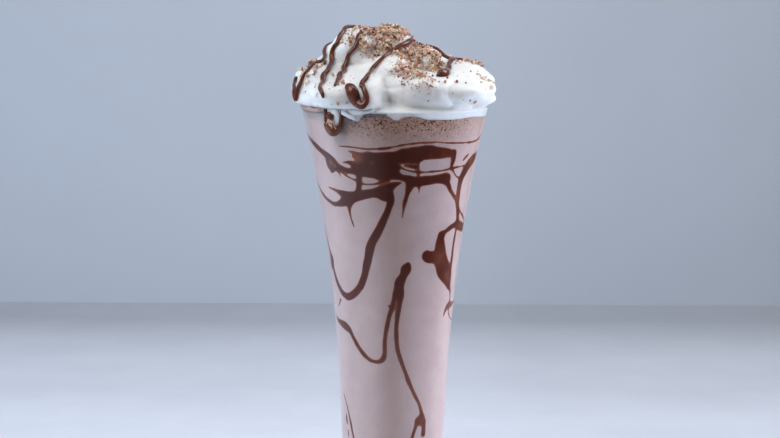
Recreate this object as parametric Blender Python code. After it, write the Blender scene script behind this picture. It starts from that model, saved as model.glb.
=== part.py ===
"""A chocolate milkshake in its tall flared glass, with whipped cream, thick drizzle and crumbs on top.

Three solids: the footed glass, the drink that fills it, and the cream that rests on the drink and the rim.
The drizzle and the crumbs are fused to the cream. All sizes are in millimetres until they reach a mesh.
The origin is the centre of the foot's underside. The side of the photograph faces -Y.
"""

import math

import bmesh
import bpy
import numpy as np

MM = 0.001

# Glass: height, rim, and the flare that narrows to the waist as a power of the depth below the rim
GLASS_HEIGHT = 205.0
RIM_RADIUS = 40.0
WAIST_RADIUS = 21.8
FLARE_REACH = 183.0
FLARE_POWER = 2.37
WALL_AT_RIM = 2.0
WALL_AT_BASE = 3.0
BOWL_DEPTH = 165.0
INNER_DEPTH = 170.0
INNER_CORNER_RADIUS = 9.0
STEM_RADIUS = 8.0
STEM_TOP = 25.0
STEM_BOTTOM = 17.0
FOOT_RADIUS = 34.0
FOOT_THICKNESS = 4.0
FOOT_EDGE = 1.2
FOOT_RISE = 7.5
FOOT_WAIST = 15.0

# Drink and cream: what stays free between two solids, and the level of the drink below the rim
GAP = 0.35
DRINK_DEPTH = 4.0

# Facets
ROUND_STEPS = 36
CREAM_STEPS = 56
CREAM_RINGS = 24
DOUBLED = 0.001

# Whipped cream: each lobe is an ellipsoid (x, y, z, radius x, radius y, radius z), z above the rim
LOBES = (
    (0.0, 0.0, 0.5, 37.3, 37.3, 3.0),
    (-29.5, -3.0, 5.8, 13.4, 20.0, 13.4),
    (-17.0, 0.0, 21.0, 11.0, 15.0, 12.3),
    (-4.0, 3.0, 20.5, 12.0, 16.0, 12.3),
    (12.5, 4.0, 13.6, 12.0, 18.0, 10.8),
    (-4.0, -15.0, 11.5, 14.0, 12.0, 9.5),
    (29.0, 0.0, 8.5, 14.0, 19.0, 10.0),
    (34.5, 2.0, 2.0, 4.8, 12.0, 2.2),
    (-21.0, -23.0, 4.5, 12.5, 14.0, 9.0),
    (-10.5, -28.0, 6.0, 6.8, 12.0, 9.0),
    (9.0, -26.0, 9.0, 12.0, 11.5, 5.8),
    (26.0, -19.0, 8.5, 14.5, 12.5, 5.6),
    (-17.0, 24.0, 6.5, 17.0, 14.5, 10.5),
    (14.0, 25.0, 6.0, 18.0, 14.0, 9.5),
)
LOBE_BLEND = 1.3
FOLD_SIZES = (((15.0, 15.0, 7.0), 3.4), ((7.0, 7.0, 4.0), 0.8))
SEAT_RADIUS = 39.1
SEAT_HEIGHT = 4.5
RAY_STEP = 0.75
RAY_REACH = 56.0
SIGHT_STEP = 0.5
NOISE_SEED = 11

# Thick drizzle: each pass has guide points (x, z above the rim, half width), places in the plane of the glass's
# axis that an eye in front sees on the cream, and directions (x, y, z) from the centre of the mouth for its far end
EYE_DISTANCE = 850.0
EYE_HEIGHT = 74.0
DRIZZLE_SPACING = 3.0
DRIZZLE_LIFT = 0.3
FAR_HALF_WIDTH = 1.2
DRIZZLE_PASSES = {
    "drizzle_far_left": (
        [
            (-30.2, 18.5, 0.9), (-33, 17.6, 0.9), (-35.2, 15.7, 0.9), (-36.8, 14.1, 0.9), (-38.3, 11.6, 1),
            (-39.6, 8.5, 1.1), (-40.9, 4.7, 1.3), (-41.4, 1.8, 1.2), (-42.1, 4.2, 1.2), (-42.3, 7, 1.1),
            (-41.8, 9.4, 1), (-41, 11.8, 0.8),
        ],
        [(-16, 18, 24), (-23, 9, 23)],
    ),
    "drizzle_left": (
        [
            (-19.6, 33, 1.1), (-21.1, 31.8, 1.15), (-22.1, 29.8, 1.2), (-23.6, 26.3, 1.3), (-25.5, 23.8, 1.25),
            (-26.4, 20.4, 1.25), (-26.8, 16.6, 1.3), (-28, 13.8, 1.4), (-29.9, 11.6, 1.5), (-30.8, 8.5, 1.3),
            (-30.8, 5.4, 1.1), (-29.8, 2.2, 0.7),
        ],
        [(-9, 24, 22), (-13, 15, 30), (-17, 4, 32)],
    ),
    "drizzle_middle": (
        [
            (-13, 31, 0.9), (-14.5, 29.8, 1), (-15.5, 26.6, 1.05), (-16.7, 23.8, 1.15), (-18.6, 21.6, 1.2),
            (-19.8, 19.1, 1.2), (-20.2, 16.9, 1.25), (-21.1, 14.4, 1.35), (-23, 11.6, 1.5), (-25.2, 7.6, 0.8),
        ],
        [(0, 25, 18), (-6, 16, 29), (-10, 4, 32)],
    ),
    "drizzle_loop": (
        [
            (14.6, 24.6, 0.9), (11.4, 26, 1), (7.7, 27, 1.1), (4.6, 25.4, 1.5), (1.5, 24.2, 1.1),
            (-1.7, 21.9, 1), (-4.8, 19.8, 1), (-7.3, 17.2, 1.05), (-9.9, 14.1, 1.15), (-11.7, 11.6, 1.3),
            (-13.6, 9.1, 1.4), (-14.3, 7, 1),
        ],
        [(30, 10, 16), (22, 3, 21)],
    ),
    "drizzle_smear": (
        [
            (-20.1, 7.8, 0.9), (-18.6, 6.4, 1.9), (-17.3, 4.4, 2.2), (-16.3, 1.8, 2.1), (-15, -0.1, 1.7),
            (-13.6, -0.7, 1.5), (-12.1, 1, 1.4), (-12, 3.5, 1.35), (-12.8, 6.1, 1.3), (-13.7, 8.6, 1.2),
        ],
        [],
    ),
    "drizzle_right": (
        [
            (27.4, 20.6, 1.1), (25.2, 20, 1.2), (23.4, 19.2, 1.25), (22.4, 17.2, 1.2), (21.8, 14.8, 1.3),
            (20.1, 13, 1.9), (17.7, 13.4, 1.4),
        ],
        [(33, 18, 9), (30, 8, 17)],
    ),
}

# The sauce that hangs outside the glass in a loop, and the cream inside it: angle from the front in degrees, depth
# below the rim, half width
DRIP_STAND_OFF = 1.2
DRIP_PATHS = {
    "drip_loop": [
        (-44, -5, 1.2), (-43.2, -1.5, 1.2), (-42.6, 3, 1.3), (-41.5, 6.5, 1.6), (-38.5, 8.2, 1.9),
        (-35.5, 6.5, 1.6), (-34, 3, 1.2), (-33.5, 0, 1.1), (-33, -4.5, 1.1),
    ],
    "drip_tongue": [
        (-38.4, -4.5, 1.4), (-37.6, 0, 1.4), (-36.9, 3, 1.3), (-36.6, 5, 1),
    ],
}

# Crumbs: biggest first, in the patch on top and more thinly around it
CRUMB_SEED = 5
CRUMBS_IN_PATCH = 46
CRUMBS_AROUND = 18
CRUMB_SIZES = (2.9, 1.8)
CRUMB_SUNK = 0.3
PATCH_CENTRE = (2.0, -5.0)
PATCH_RADII = (24.0, 17.0)
AROUND_RADII = (38.0, 34.0)
CRUMB_SPACING = 3.6

COLOURS = {
    "glass": ((0.92, 0.95, 0.97), 0.03, 0.0),
    "milkshake": ((0.52, 0.38, 0.37), 0.35, 0.0),
    "whipped_cream": ((0.92, 0.92, 0.90), 0.4, 0.0),
}


def clear_scene():
    for thing in list(bpy.data.objects):
        bpy.data.objects.remove(thing)


def material(name):
    """A Principled material with the colour, roughness and metallic value of one sub-part."""
    colour, roughness, metallic = COLOURS[name]
    made = bpy.data.materials.new(name)
    made.use_nodes = True
    shader = made.node_tree.nodes["Principled BSDF"]
    shader.inputs["Base Color"].default_value = (*colour, 1.0)
    shader.inputs["Roughness"].default_value = roughness
    shader.inputs["Metallic"].default_value = metallic
    return made


def new_object(name, points, faces, edges=()):
    """An object whose mesh has these points, given in millimetres."""
    mesh = bpy.data.meshes.new(name)
    mesh.from_pydata([tuple(float(c) * MM for c in point) for point in points], list(edges), list(faces))
    made = bpy.data.objects.new(name, mesh)
    bpy.context.scene.collection.objects.link(made)
    return made


def outer_radius(depth):
    """Outer radius of the bowl at a depth below the rim: the flare falls to the waist as a power."""
    return WAIST_RADIUS + (RIM_RADIUS - WAIST_RADIUS) * (1 - depth / FLARE_REACH) ** FLARE_POWER


def inner_radius(depth):
    """Inner radius of the bowl: the wall thickens evenly from the rim to the base."""
    wall = WALL_AT_RIM + (WALL_AT_BASE - WALL_AT_RIM) * depth / BOWL_DEPTH
    return outer_radius(depth) - wall


def arc(centre, radii, start, end, steps):
    """Points on an ellipse's arc in the (radius, height) plane, angles in degrees."""
    angles = np.radians(np.linspace(start, end, steps + 1))
    return [(centre[0] + radii[0] * math.cos(a), centre[1] + radii[1] * math.sin(a)) for a in angles]


def inner_wall(inset, top_depth):
    """The inside of the bowl, from its centre up to top_depth, moved in by inset."""
    floor = GLASS_HEIGHT - INNER_DEPTH + inset
    corner_depth = INNER_DEPTH - INNER_CORNER_RADIUS
    wall_foot = inner_radius(corner_depth) - inset
    corner = arc(
        (wall_foot - INNER_CORNER_RADIUS, floor + INNER_CORNER_RADIUS - inset),
        (INNER_CORNER_RADIUS, INNER_CORNER_RADIUS - inset),
        -90,
        0,
        4,
    )
    depths = np.linspace(corner_depth, top_depth, 10)[1:]
    return [(0.0, floor), *corner, *[(inner_radius(d) - inset, GLASS_HEIGHT - d) for d in depths]]


def turned(name, profile):
    """A closed body of revolution about +Z. The profile runs from the axis up inside and down its outer side."""
    points = [(r, 0.0, z) for r, z in profile]
    edges = [(i, i + 1) for i in range(len(points) - 1)]
    body = new_object(name, points, [], edges)
    screw = body.modifiers.new("turn", "SCREW")
    screw.steps = screw.render_steps = ROUND_STEPS
    screw.use_merge_vertices = True
    screw.merge_threshold = 0.00001
    screw.use_smooth_shade = True
    body.data.materials.append(material(name))
    return body


def glass():
    """The footed glass: inside wall, rounded lip, flared outside, bowl's round end, stem and foot."""
    lip = WALL_AT_RIM / 2
    inside = inner_wall(0.0, lip)
    lip_arc = arc((RIM_RADIUS - lip - 0.1, GLASS_HEIGHT - lip), (lip, lip), 180, 0, 4)[1:-1]
    outside = [(outer_radius(d), GLASS_HEIGHT - d) for d in np.linspace(lip, BOWL_DEPTH, 11)]
    bowl_foot = outside[-1]
    bowl_end = arc(
        (STEM_RADIUS, bowl_foot[1]), (bowl_foot[0] - STEM_RADIUS, bowl_foot[1] - STEM_TOP), 0, -90, 5
    )[1:]
    flare = arc((FOOT_WAIST, STEM_BOTTOM), (FOOT_WAIST - STEM_RADIUS, STEM_BOTTOM - FOOT_RISE), 180, 270, 4)
    foot_edge = arc(
        (FOOT_RADIUS - FOOT_EDGE, FOOT_THICKNESS - FOOT_EDGE), (FOOT_EDGE, FOOT_EDGE), 90, 0, 2
    )
    under = [(FOOT_RADIUS, 0.6), (FOOT_RADIUS - 0.6, 0.0), (0.0, 0.0)]
    return turned("glass", inside + lip_arc + outside + bowl_end + flare + foot_edge + under)


def milkshake():
    """The drink, up to its level, a gap inside the glass."""
    wall = inner_wall(GAP, DRINK_DEPTH)
    return turned("milkshake", [*wall, (0.0, wall[-1][1])][::-1])


def noise_table():
    """A permutation of 0 to 255, which the value noise reads its lattice from."""
    return np.random.default_rng(NOISE_SEED).permutation(256)


def value_noise(points, table):
    """Smooth noise from -1 to 1: random values on the unit lattice, blended by a quintic fade."""
    cell = np.floor(points).astype(int)
    part = points - cell
    fade = part**3 * (part * (part * 6 - 15) + 10)
    total = np.zeros(len(points))
    for corner in range(8):
        offset = np.array([corner & 1, corner >> 1 & 1, corner >> 2 & 1])
        i, j, k = ((cell + offset) & 255).T
        value = table[(table[(table[i] + j) & 255] + k) & 255] / 127.5 - 1
        total += value * np.prod(np.where(offset, fade, 1 - fade), axis=1)
    return total


def cream_field(points):
    """Below 0 inside the cream: the ellipsoids joined by a soft minimum, which leaves a crease between lobes."""
    total = np.zeros(len(points))
    for x, y, z, *radii in LOBES:
        reach = np.linalg.norm((points - (x, y, z)) / radii, axis=1)
        total += np.exp(-(reach - 1) * min(radii) / LOBE_BLEND)
    return -LOBE_BLEND * np.log(total + 1e-12)


def folds(points, table):
    """Rounded lumps with creases between them: the size of noise, which is zero along its creases."""
    return sum(depth * (np.abs(value_noise(points / size, table)) - 0.3) for size, depth in FOLD_SIZES)


def cream_radius(directions, table):
    """Distance along unit directions from the centre of the mouth to the cream's skin: the last crossing of the
    field, plus the folds, drawn in or out to the rim where the cream comes down to rest on it."""
    steps = np.arange(RAY_STEP, RAY_REACH, RAY_STEP)
    inside = np.array([cream_field(directions * step) for step in steps]) < 0
    last = len(steps) - 1 - np.argmax(inside[::-1], axis=0)
    low = steps[last]
    high = low + RAY_STEP
    for _ in range(8):
        middle = (low + high) / 2
        within = cream_field(directions * middle[:, None]) < 0
        low, high = np.where(within, middle, low), np.where(within, high, middle)
    skin = directions * low[:, None]
    reach = low + folds(skin, table)
    return reach + (SEAT_RADIUS - reach) * np.clip(1 - skin[:, 2] / SEAT_HEIGHT, 0, 1) ** 2


def direction(points):
    points = np.asarray(points, float)
    return points / np.linalg.norm(points, axis=-1, keepdims=True)


def cream_core(table):
    """The cream without its toppings: a plug in the glass, a flat seat over the rim, and the lobed mound on it."""
    seat = GLASS_HEIGHT + GAP
    base = GLASS_HEIGHT - DRINK_DEPTH + GAP
    around = np.linspace(0, 2 * math.pi, CREAM_STEPS, endpoint=False)
    ring = np.stack([np.cos(around), np.sin(around)], axis=1)
    lifts = np.linspace(0, math.pi / 2, CREAM_RINGS + 1)[:-1]
    rays = np.array([(*(ring[i] * math.cos(up)), math.sin(up)) for up in lifts for i in range(CREAM_STEPS)])
    mound = rays * cream_radius(rays, table)[:, None] + (0, 0, seat)
    edge = np.linalg.norm(mound[:CREAM_STEPS, :2], axis=1)
    rows = []
    for radius, height in (
        (0.6 * inner_radius(DRINK_DEPTH), base),
        (inner_radius(DRINK_DEPTH) - GAP, base),
        (inner_radius(0) - GAP, seat),
    ):
        reach = np.minimum(radius, edge - GAP)
        rows.append(np.column_stack([ring * reach[:, None], np.full(CREAM_STEPS, height)]))
    top = cream_radius(np.array([[0.0, 0.0, 1.0]]), table)[0] + seat
    points = np.concatenate([[(0, 0, base)], *rows, mound, [(0, 0, top)]])
    count = len(rows) + len(lifts)
    faces = []
    for i in range(CREAM_STEPS):
        j = (i + 1) % CREAM_STEPS
        faces.append((0, 1 + j, 1 + i))
        for r in range(count - 1):
            low, high = 1 + r * CREAM_STEPS, 1 + (r + 1) * CREAM_STEPS
            faces.append((low + i, low + j, high + j, high + i))
        last = 1 + (count - 1) * CREAM_STEPS
        faces.append((last + i, last + j, len(points) - 1))
    return new_object("whipped_cream", points, faces)


def smooth_path(guides, spacing):
    """Points a set distance apart along a Catmull-Rom curve through the guide points."""
    guides = np.asarray(guides, float)
    padded = np.vstack([2 * guides[0] - guides[1], guides, 2 * guides[-1] - guides[-2]])
    share = np.linspace(0, 1, 16, endpoint=False)[:, None]
    curve = []
    for a, b, c, d in zip(padded, padded[1:], padded[2:], padded[3:]):
        bend = (2 * a - 5 * b + 4 * c - d) * share**2 + (3 * b - a - 3 * c + d) * share**3
        curve.append(0.5 * (2 * b + (c - a) * share + bend))
    curve = np.vstack([*curve, guides[-1:]])
    along = np.concatenate([[0], np.cumsum(np.linalg.norm(np.diff(curve, axis=0), axis=1))])
    at = np.linspace(0, along[-1], max(4, int(along[-1] / spacing)))
    return np.column_stack([np.interp(at, along, curve[:, k]) for k in range(curve.shape[1])])


def strand(name, path, half_widths):
    """A thick line of sauce: a filled tube along a path, as thick at each point as given there."""
    curve = bpy.data.curves.new(name, "CURVE")
    curve.dimensions = "3D"
    curve.bevel_depth = MM
    curve.bevel_resolution = 1
    curve.use_fill_caps = True
    line = curve.splines.new("POLY")
    line.points.add(len(path) - 1)
    for point, place, half_width in zip(line.points, path, half_widths):
        point.co = (*[float(c) * MM for c in place], 1.0)
        point.radius = half_width
    tube = bpy.data.objects.new(name, curve)
    bpy.context.scene.collection.objects.link(tube)
    return tube


def seen_on_cream(places, table):
    """Directions of the points of the cream that an eye in front sees through these places (x, z)."""
    eye = np.array([0.0, -EYE_DISTANCE, EYE_HEIGHT])
    shares = 1 + np.arange(-60, 60, SIGHT_STEP) / EYE_DISTANCE
    seen = []
    for x, z, _ in places:
        line = eye + shares[:, None] * (np.array([x, 0.0, z]) - eye)
        above = np.linalg.norm(line, axis=1) - cream_radius(direction(line), table)
        seen.append(direction(line[np.argmax(above <= max(above.min(), 0))]))
    return seen


def drizzle(table):
    """Every pass of the drizzle, laid on the cream, and the sauce that hangs outside the glass."""
    seat = np.array([0, 0, GLASS_HEIGHT + GAP])
    strands = []
    for name, (places, far_end) in DRIZZLE_PASSES.items():
        guides = np.array([*[direction(ray) for ray in far_end], *seen_on_cream(places, table)])
        guides *= cream_radius(guides, table)[:, None]
        half_widths = [FAR_HALF_WIDTH] * len(far_end) + [half_width for _, _, half_width in places]
        *spots, half_widths = smooth_path(np.column_stack([guides, half_widths]), DRIZZLE_SPACING).T
        rays = direction(np.transpose(spots))
        path = rays * (cream_radius(rays, table)[:, None] + DRIZZLE_LIFT) + seat
        strands.append(strand(name, path, half_widths))
    for name, guides in DRIP_PATHS.items():
        turns, depths, half_widths = smooth_path(guides, 2.0).T
        reach = outer_radius(np.maximum(depths, 0)) + GAP + DRIP_STAND_OFF * half_widths
        angles = np.radians(turns)
        path = np.column_stack([reach * np.sin(angles), -reach * np.cos(angles), GLASS_HEIGHT - depths])
        strands.append(strand(name, path, half_widths))
    return strands


def crumb_places(random):
    """Plan positions for the crumbs: random draws kept a spacing apart, in the patch first and then around it."""
    kept = []
    for count, radii in ((CRUMBS_IN_PATCH, PATCH_RADII), (CRUMBS_AROUND, AROUND_RADII)):
        wanted = len(kept) + count
        while len(kept) < wanted:
            angle, share = random.uniform(0, 2 * math.pi), math.sqrt(random.uniform())
            step = np.multiply(radii, share) * (math.cos(angle), math.sin(angle))
            place = np.add(PATCH_CENTRE, step)
            if all(np.linalg.norm(place - other) > CRUMB_SPACING for other in kept):
                kept.append(place)
    return kept


def crumbs(table):
    """Chips of biscuit and chocolate: uneven twenty-sided grains, the biggest in the patch."""
    random = np.random.default_rng(CRUMB_SEED)
    places = crumb_places(random)
    sizes = np.linspace(*CRUMB_SIZES, len(places))
    made = []
    for i, (place, size) in enumerate(zip(places, sizes)):
        flat = math.hypot(*place) / 46.0
        ray = direction((place[0], place[1], 30.0 * math.sqrt(max(0.06, 1 - flat**2))))
        centre = ray * (cream_radius(ray[None], table)[0] + size * (0.5 - CRUMB_SUNK))
        grain = bmesh.new()
        bmesh.ops.create_icosphere(grain, subdivisions=1, radius=0.5)
        for corner in grain.verts:
            shape = random.uniform(0.75, 1.15, 3) * size
            corner.co = [c * s * MM for c, s in zip(corner.co, shape)]
        mesh = bpy.data.meshes.new(f"crumb_{i}")
        grain.to_mesh(mesh)
        grain.free()
        chip = bpy.data.objects.new(mesh.name, mesh)
        chip.location = [float(c) * MM for c in centre + (0, 0, GLASS_HEIGHT + GAP)]
        chip.rotation_euler = random.uniform(0, math.pi, 3)
        bpy.context.scene.collection.objects.link(chip)
        made.append(chip)
    return made


def ready_to_fuse(mesh):
    """Joins doubled points, turns the faces outwards and cuts them into triangles, so that every face is flat."""
    work = bmesh.new()
    work.from_mesh(mesh)
    bmesh.ops.remove_doubles(work, verts=work.verts, dist=DOUBLED * MM)
    bmesh.ops.recalc_face_normals(work, faces=work.faces)
    bmesh.ops.triangulate(work, faces=work.faces)
    work.to_mesh(mesh)
    work.free()


def as_mesh(thing):
    """Swaps a curve object for a mesh object of the same shape."""
    graph = bpy.context.evaluated_depsgraph_get()
    mesh = bpy.data.meshes.new_from_object(thing.evaluated_get(graph))
    bpy.data.objects.remove(thing)
    made = bpy.data.objects.new(mesh.name, mesh)
    ready_to_fuse(mesh)
    bpy.context.scene.collection.objects.link(made)
    return made


def keep_largest_shell(mesh):
    """Fills the hollows and drops the loose scraps that fusing leaves: only the biggest shell stays."""
    work = bmesh.new()
    work.from_mesh(mesh)
    left = set(work.verts)
    shells = []
    while left:
        reached = [left.pop()]
        for corner in reached:
            new = {edge.other_vert(corner) for edge in corner.link_edges} & left
            left -= new
            reached.extend(new)
        shells.append(reached)
    shells.sort(key=len)
    for scrap in shells[:-1]:
        bmesh.ops.delete(work, geom=scrap, context="VERTS")
    work.to_mesh(mesh)
    work.free()


def whipped_cream():
    """The cream with its drizzle and crumbs fused on by one union."""
    table = noise_table()
    body = cream_core(table)
    ready_to_fuse(body.data)
    toppings = bpy.data.collections.new("toppings")
    bpy.context.scene.collection.children.link(toppings)
    for thing in [as_mesh(line) for line in drizzle(table)] + crumbs(table):
        bpy.context.scene.collection.objects.unlink(thing)
        toppings.objects.link(thing)
    union = body.modifiers.new("fuse", "BOOLEAN")
    union.operation = "UNION"
    union.operand_type = "COLLECTION"
    union.collection = toppings
    union.solver = "EXACT"
    bpy.context.view_layer.update()
    fused = bpy.data.meshes.new_from_object(body.evaluated_get(bpy.context.evaluated_depsgraph_get()))
    body.modifiers.clear()
    keep_largest_shell(fused)
    body.data = fused
    for thing in list(toppings.objects):
        bpy.data.objects.remove(thing)
    bpy.data.collections.remove(toppings)
    body.data.materials.append(material("whipped_cream"))
    return body


def main():
    clear_scene()
    glass()
    milkshake()
    whipped_cream()


main()
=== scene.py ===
"""A chocolate milkshake in its tall footed glass, with whipped cream, chocolate drizzle and crumbs."""

import itertools
import math

import bpy
import numpy as np
from bpy.props import FloatProperty, FloatVectorProperty, IntProperty, PointerProperty
from mathutils import Matrix, Vector


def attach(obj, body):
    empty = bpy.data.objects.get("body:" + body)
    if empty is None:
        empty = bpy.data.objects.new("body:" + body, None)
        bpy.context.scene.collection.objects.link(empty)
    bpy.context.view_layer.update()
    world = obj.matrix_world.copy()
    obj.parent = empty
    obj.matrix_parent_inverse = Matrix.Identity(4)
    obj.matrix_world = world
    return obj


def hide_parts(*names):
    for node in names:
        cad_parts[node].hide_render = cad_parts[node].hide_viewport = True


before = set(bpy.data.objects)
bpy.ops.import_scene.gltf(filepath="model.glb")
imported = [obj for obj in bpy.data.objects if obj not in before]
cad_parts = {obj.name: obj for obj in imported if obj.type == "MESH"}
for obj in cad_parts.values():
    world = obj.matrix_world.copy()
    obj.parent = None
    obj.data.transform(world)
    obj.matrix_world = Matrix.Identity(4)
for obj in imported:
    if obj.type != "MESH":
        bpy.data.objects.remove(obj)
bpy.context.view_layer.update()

bl_info = {
    "name": "Chocolate milkshake",
    "version": (1, 0, 0),
    "blender": (4, 5, 0),
    "location": "3D View > Sidebar > Milkshake",
    "description": "Builds a chocolate milkshake in a footed glass, piece by piece, and a pale studio",
    "category": "Add Mesh",
}

MM = 0.001

# Picture that the camera matches, in pixels: its size, focal length and the middle of the glass's rim
PICTURE_WIDTH = 780
PICTURE_HEIGHT = 438
FOCAL_PIXELS = 2000.0
RIM_CENTRE_PIXEL = 394.0
SENSOR_MM = 36.0
EYE_DISTANCE = 850.5
EYE_ABOVE_RIM = 74.4
PITCH_DEG = 8.254
ROLL_DEG = 0.3

# Glass, in millimetres: the flare narrows to the waist as a power of the depth below the rim
GLASS_HEIGHT = 205.0
RIM_RADIUS = 40.0
WAIST_RADIUS = 21.8
FLARE_REACH = 183.0
FLARE_POWER = 2.37
WALL_AT_RIM = 2.0
WALL_AT_BASE = 3.0
LIP_INSET = 0.1
BOWL_DEPTH = 165.0
INNER_DEPTH = 170.0
INNER_CORNER_RADIUS = 9.0
STEM_RADIUS = 8.0
STEM_TOP = 25.0
STEM_BOTTOM = 17.0
FOOT_RADIUS = 34.0
FOOT_THICKNESS = 4.0
FOOT_EDGE = 1.2
FOOT_CHAMFER = 0.6
FOOT_RING = 6.0
FOOT_RISE = 7.5
FOOT_WAIST = 15.0
GLASS_IOR = 1.5

# How far each layer inside the glass reaches into its wall, so that no air shows between them
DRINK_INTO_WALL = 0.05
CREAM_INTO_WALL = 0.08
SAUCE_INTO_WALL = 0.12

# Whipped cream: each lobe is an ellipsoid (x, y, z, radius x, radius y, radius z), z above the rim
LOBES = (
    (0, 0, 0.5, 37.3, 37.3, 3), (-29.5, -3, 5.8, 13.4, 20, 13.4), (-17, 0, 21, 11, 15, 12.3),
    (-4, 3, 20.5, 12, 16, 12.3), (12.5, 4, 13.6, 12, 18, 10.8), (-4, -15, 11.5, 14, 12, 9.5),
    (29, 0, 8.5, 14, 19, 10), (34.5, 2, 2, 4.8, 12, 2.2), (-21, -23, 4.5, 12.5, 14, 9),
    (-10.5, -28, 6, 6.8, 12, 9), (9, -26, 8.4, 12, 11.5, 6.4), (20, -22.5, 8.2, 10.5, 12.6, 6.2),
    (26, -19, 7.9, 14.5, 12.5, 6.2), (-17, 24, 6.5, 17, 14.5, 10.5), (14, 25, 6, 18, 14, 9.5),
)
LOBE_BLEND = 1.3
# Lumps of its folds and how deep their creases are, coarse and fine
FOLD_SIZES = (((15.0, 15.0, 7.0), 3.4), ((7.0, 7.0, 4.0), 0.8))
FINE_FOLD_SIZES = (((3.6, 3.6, 2.4), 0.25), ((1.4, 1.4, 1.4), 0.08))
# Radius at which the cream rests on the rim, and the height over which it is drawn in or out to that
SEAT_RADIUS = 39.1
SEAT_HEIGHT = 4.5
# Where the cream draws back above the rim: turns where it fades in and out; height, half height, depth
RECESS_TURNS = (-20.0, -11.0, 62.0, 84.0)
RECESS = (1.4, 1.2, 2.3)
RECESS_FADE = 0.8
# Steps in which rays are followed out to the cream's skin, their length, and steps along a line of sight
RAY_STEP = 0.75
RAY_REACH = 56.0
SIGHT_STEP = 0.25
# A permutation of 0 to 255, which the value noise reads its lattice from
NOISE_TABLE = np.random.default_rng(11).permutation(256)
CREAM_SEAT = 0.35
CREAM_COLUMNS = 520
CREAM_ROWS = 150

# Lower edge of the cream seen through the glass: (turn from the front in degrees, depth below the rim)
CREAM_EDGE = (
    (-180, 3.2), (-150, 4.4), (-120, 2.4), (-90, 0.8), (-60, 0.7), (-40, 0.7), (-33.8, 0.8), (-31.1, 1),
    (-27.8, 1.7), (-25.3, 3.2), (-23.7, 3.7), (-22.6, 3.2), (-21.3, 1.8), (-19, 0.8), (-16, 0.7),
    (-11.4, 0.7), (-7.1, 0.95), (-3.2, 1.3), (-0.9, 2.4), (1.1, 2.75), (3, 2.4), (4.4, 1.4), (9.2, 0.9),
    (13.9, 1.2), (20.6, 2.3), (35.1, 2.9), (55.5, 2.5), (75.8, 3.1), (100, 2.6), (140, 4), (160, 2.6),
)
# Where foam of the drink has stained the foot of the cream: turns between which it fades in and out, and
# heights above the rim over which it fades out
STAIN_TURNS = (-92.0, -80.0, -46.0, -38.0)
STAIN_HEIGHTS = (0.9, 2.2)

# How far the middle of the drink's top lies below the rim, under the cream
DRINK_DISH = 4.0
# Coarse froth at the top of the drink: depths and turns between which its share changes
FROTH_DEPTHS = (3.5, 7.0, 13.0, 21.0)
FROTH_TURNS = (-50.0, -28.0, -12.0, 34.0, 66.0, 100.0)

# Drizzle on the cream, as in the solid: places (x, z above the rim, half width) in the plane of the glass's
# axis that an eye in front sees on the cream, and directions from the centre of the mouth for the far end
DRIZZLE_LIFT = 0.6
FAR_HALF_WIDTH = 1.2
DRIZZLE_PASSES = {
    "far_left": (
        [
            (-30.2, 18.5, 0.9), (-33, 17.6, 0.9), (-35.2, 15.7, 0.9), (-36.8, 14.1, 0.9), (-38.3, 11.6, 1),
            (-39.6, 8.5, 1.1), (-40.9, 4.7, 1.3), (-41.4, 1.8, 1.2), (-42.1, 4.2, 1.2), (-42.3, 7, 1.1),
            (-41.8, 9.4, 1), (-41, 11.8, 0.8),
        ],
        [(-16, 18, 24), (-23, 9, 23)],
    ),
    "left": (
        [
            (-19.6, 33, 1.1), (-21.1, 31.8, 1.15), (-22.1, 29.8, 1.2), (-23.6, 26.3, 1.3),
            (-25.5, 23.8, 1.25), (-26.4, 20.4, 1.25), (-26.8, 16.6, 1.3), (-28, 13.8, 1.4),
            (-29.9, 11.6, 1.5), (-30.8, 8.5, 1.3), (-30.8, 5.4, 1.1), (-29.8, 2.2, 0.7),
        ],
        [(-9, 24, 22), (-13, 15, 30), (-17, 4, 32)],
    ),
    "middle": (
        [
            (-13, 31, 0.9), (-14.5, 29.8, 1), (-15.5, 26.6, 1.05), (-16.7, 23.8, 1.15), (-18.6, 21.6, 1.2),
            (-19.8, 19.1, 1.2), (-20.2, 16.9, 1.25), (-21.1, 14.4, 1.35), (-23, 11.6, 1.5),
            (-25.2, 7.6, 0.8),
        ],
        [(0, 25, 18), (-6, 16, 29), (-10, 4, 32)],
    ),
    "loop": (
        [
            (14.6, 24.6, 0.8), (11.4, 26, 0.9), (7.7, 27, 1), (4.6, 25.4, 1.35), (1.5, 24.2, 1),
            (-1.7, 21.9, 0.85), (-4.8, 19.8, 0.85), (-7.3, 17.2, 0.9), (-9.9, 14.1, 1), (-11.7, 11.6, 1.1),
            (-13.6, 9.1, 1.1), (-14.3, 7, 0.9),
        ],
        [(30, 10, 16), (22, 3, 21)],
    ),
    "smear": (
        [
            (-20.6, 8, 1), (-18.8, 6.6, 2.2), (-17.6, 4.5, 2.6), (-16.6, 2, 2.5), (-15.2, 0.2, 2),
            (-13.6, -0.7, 1.5), (-12.1, 1, 1.4), (-12, 3.5, 1.35), (-12.8, 6.1, 1.3), (-13.7, 8.6, 1.2),
        ],
        [],
    ),
    "right": (
        [
            (27.4, 20.6, 1.1), (25.2, 20, 1.2), (23.4, 19.2, 1.25), (22.6, 17.2, 1.2), (22.1, 14.8, 1.5),
            (20.8, 13, 2.3), (18.8, 12.5, 2.3), (17.2, 12.6, 1.6),
        ],
        [(33, 18, 9), (30, 8, 17)],
    ),
}
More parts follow.
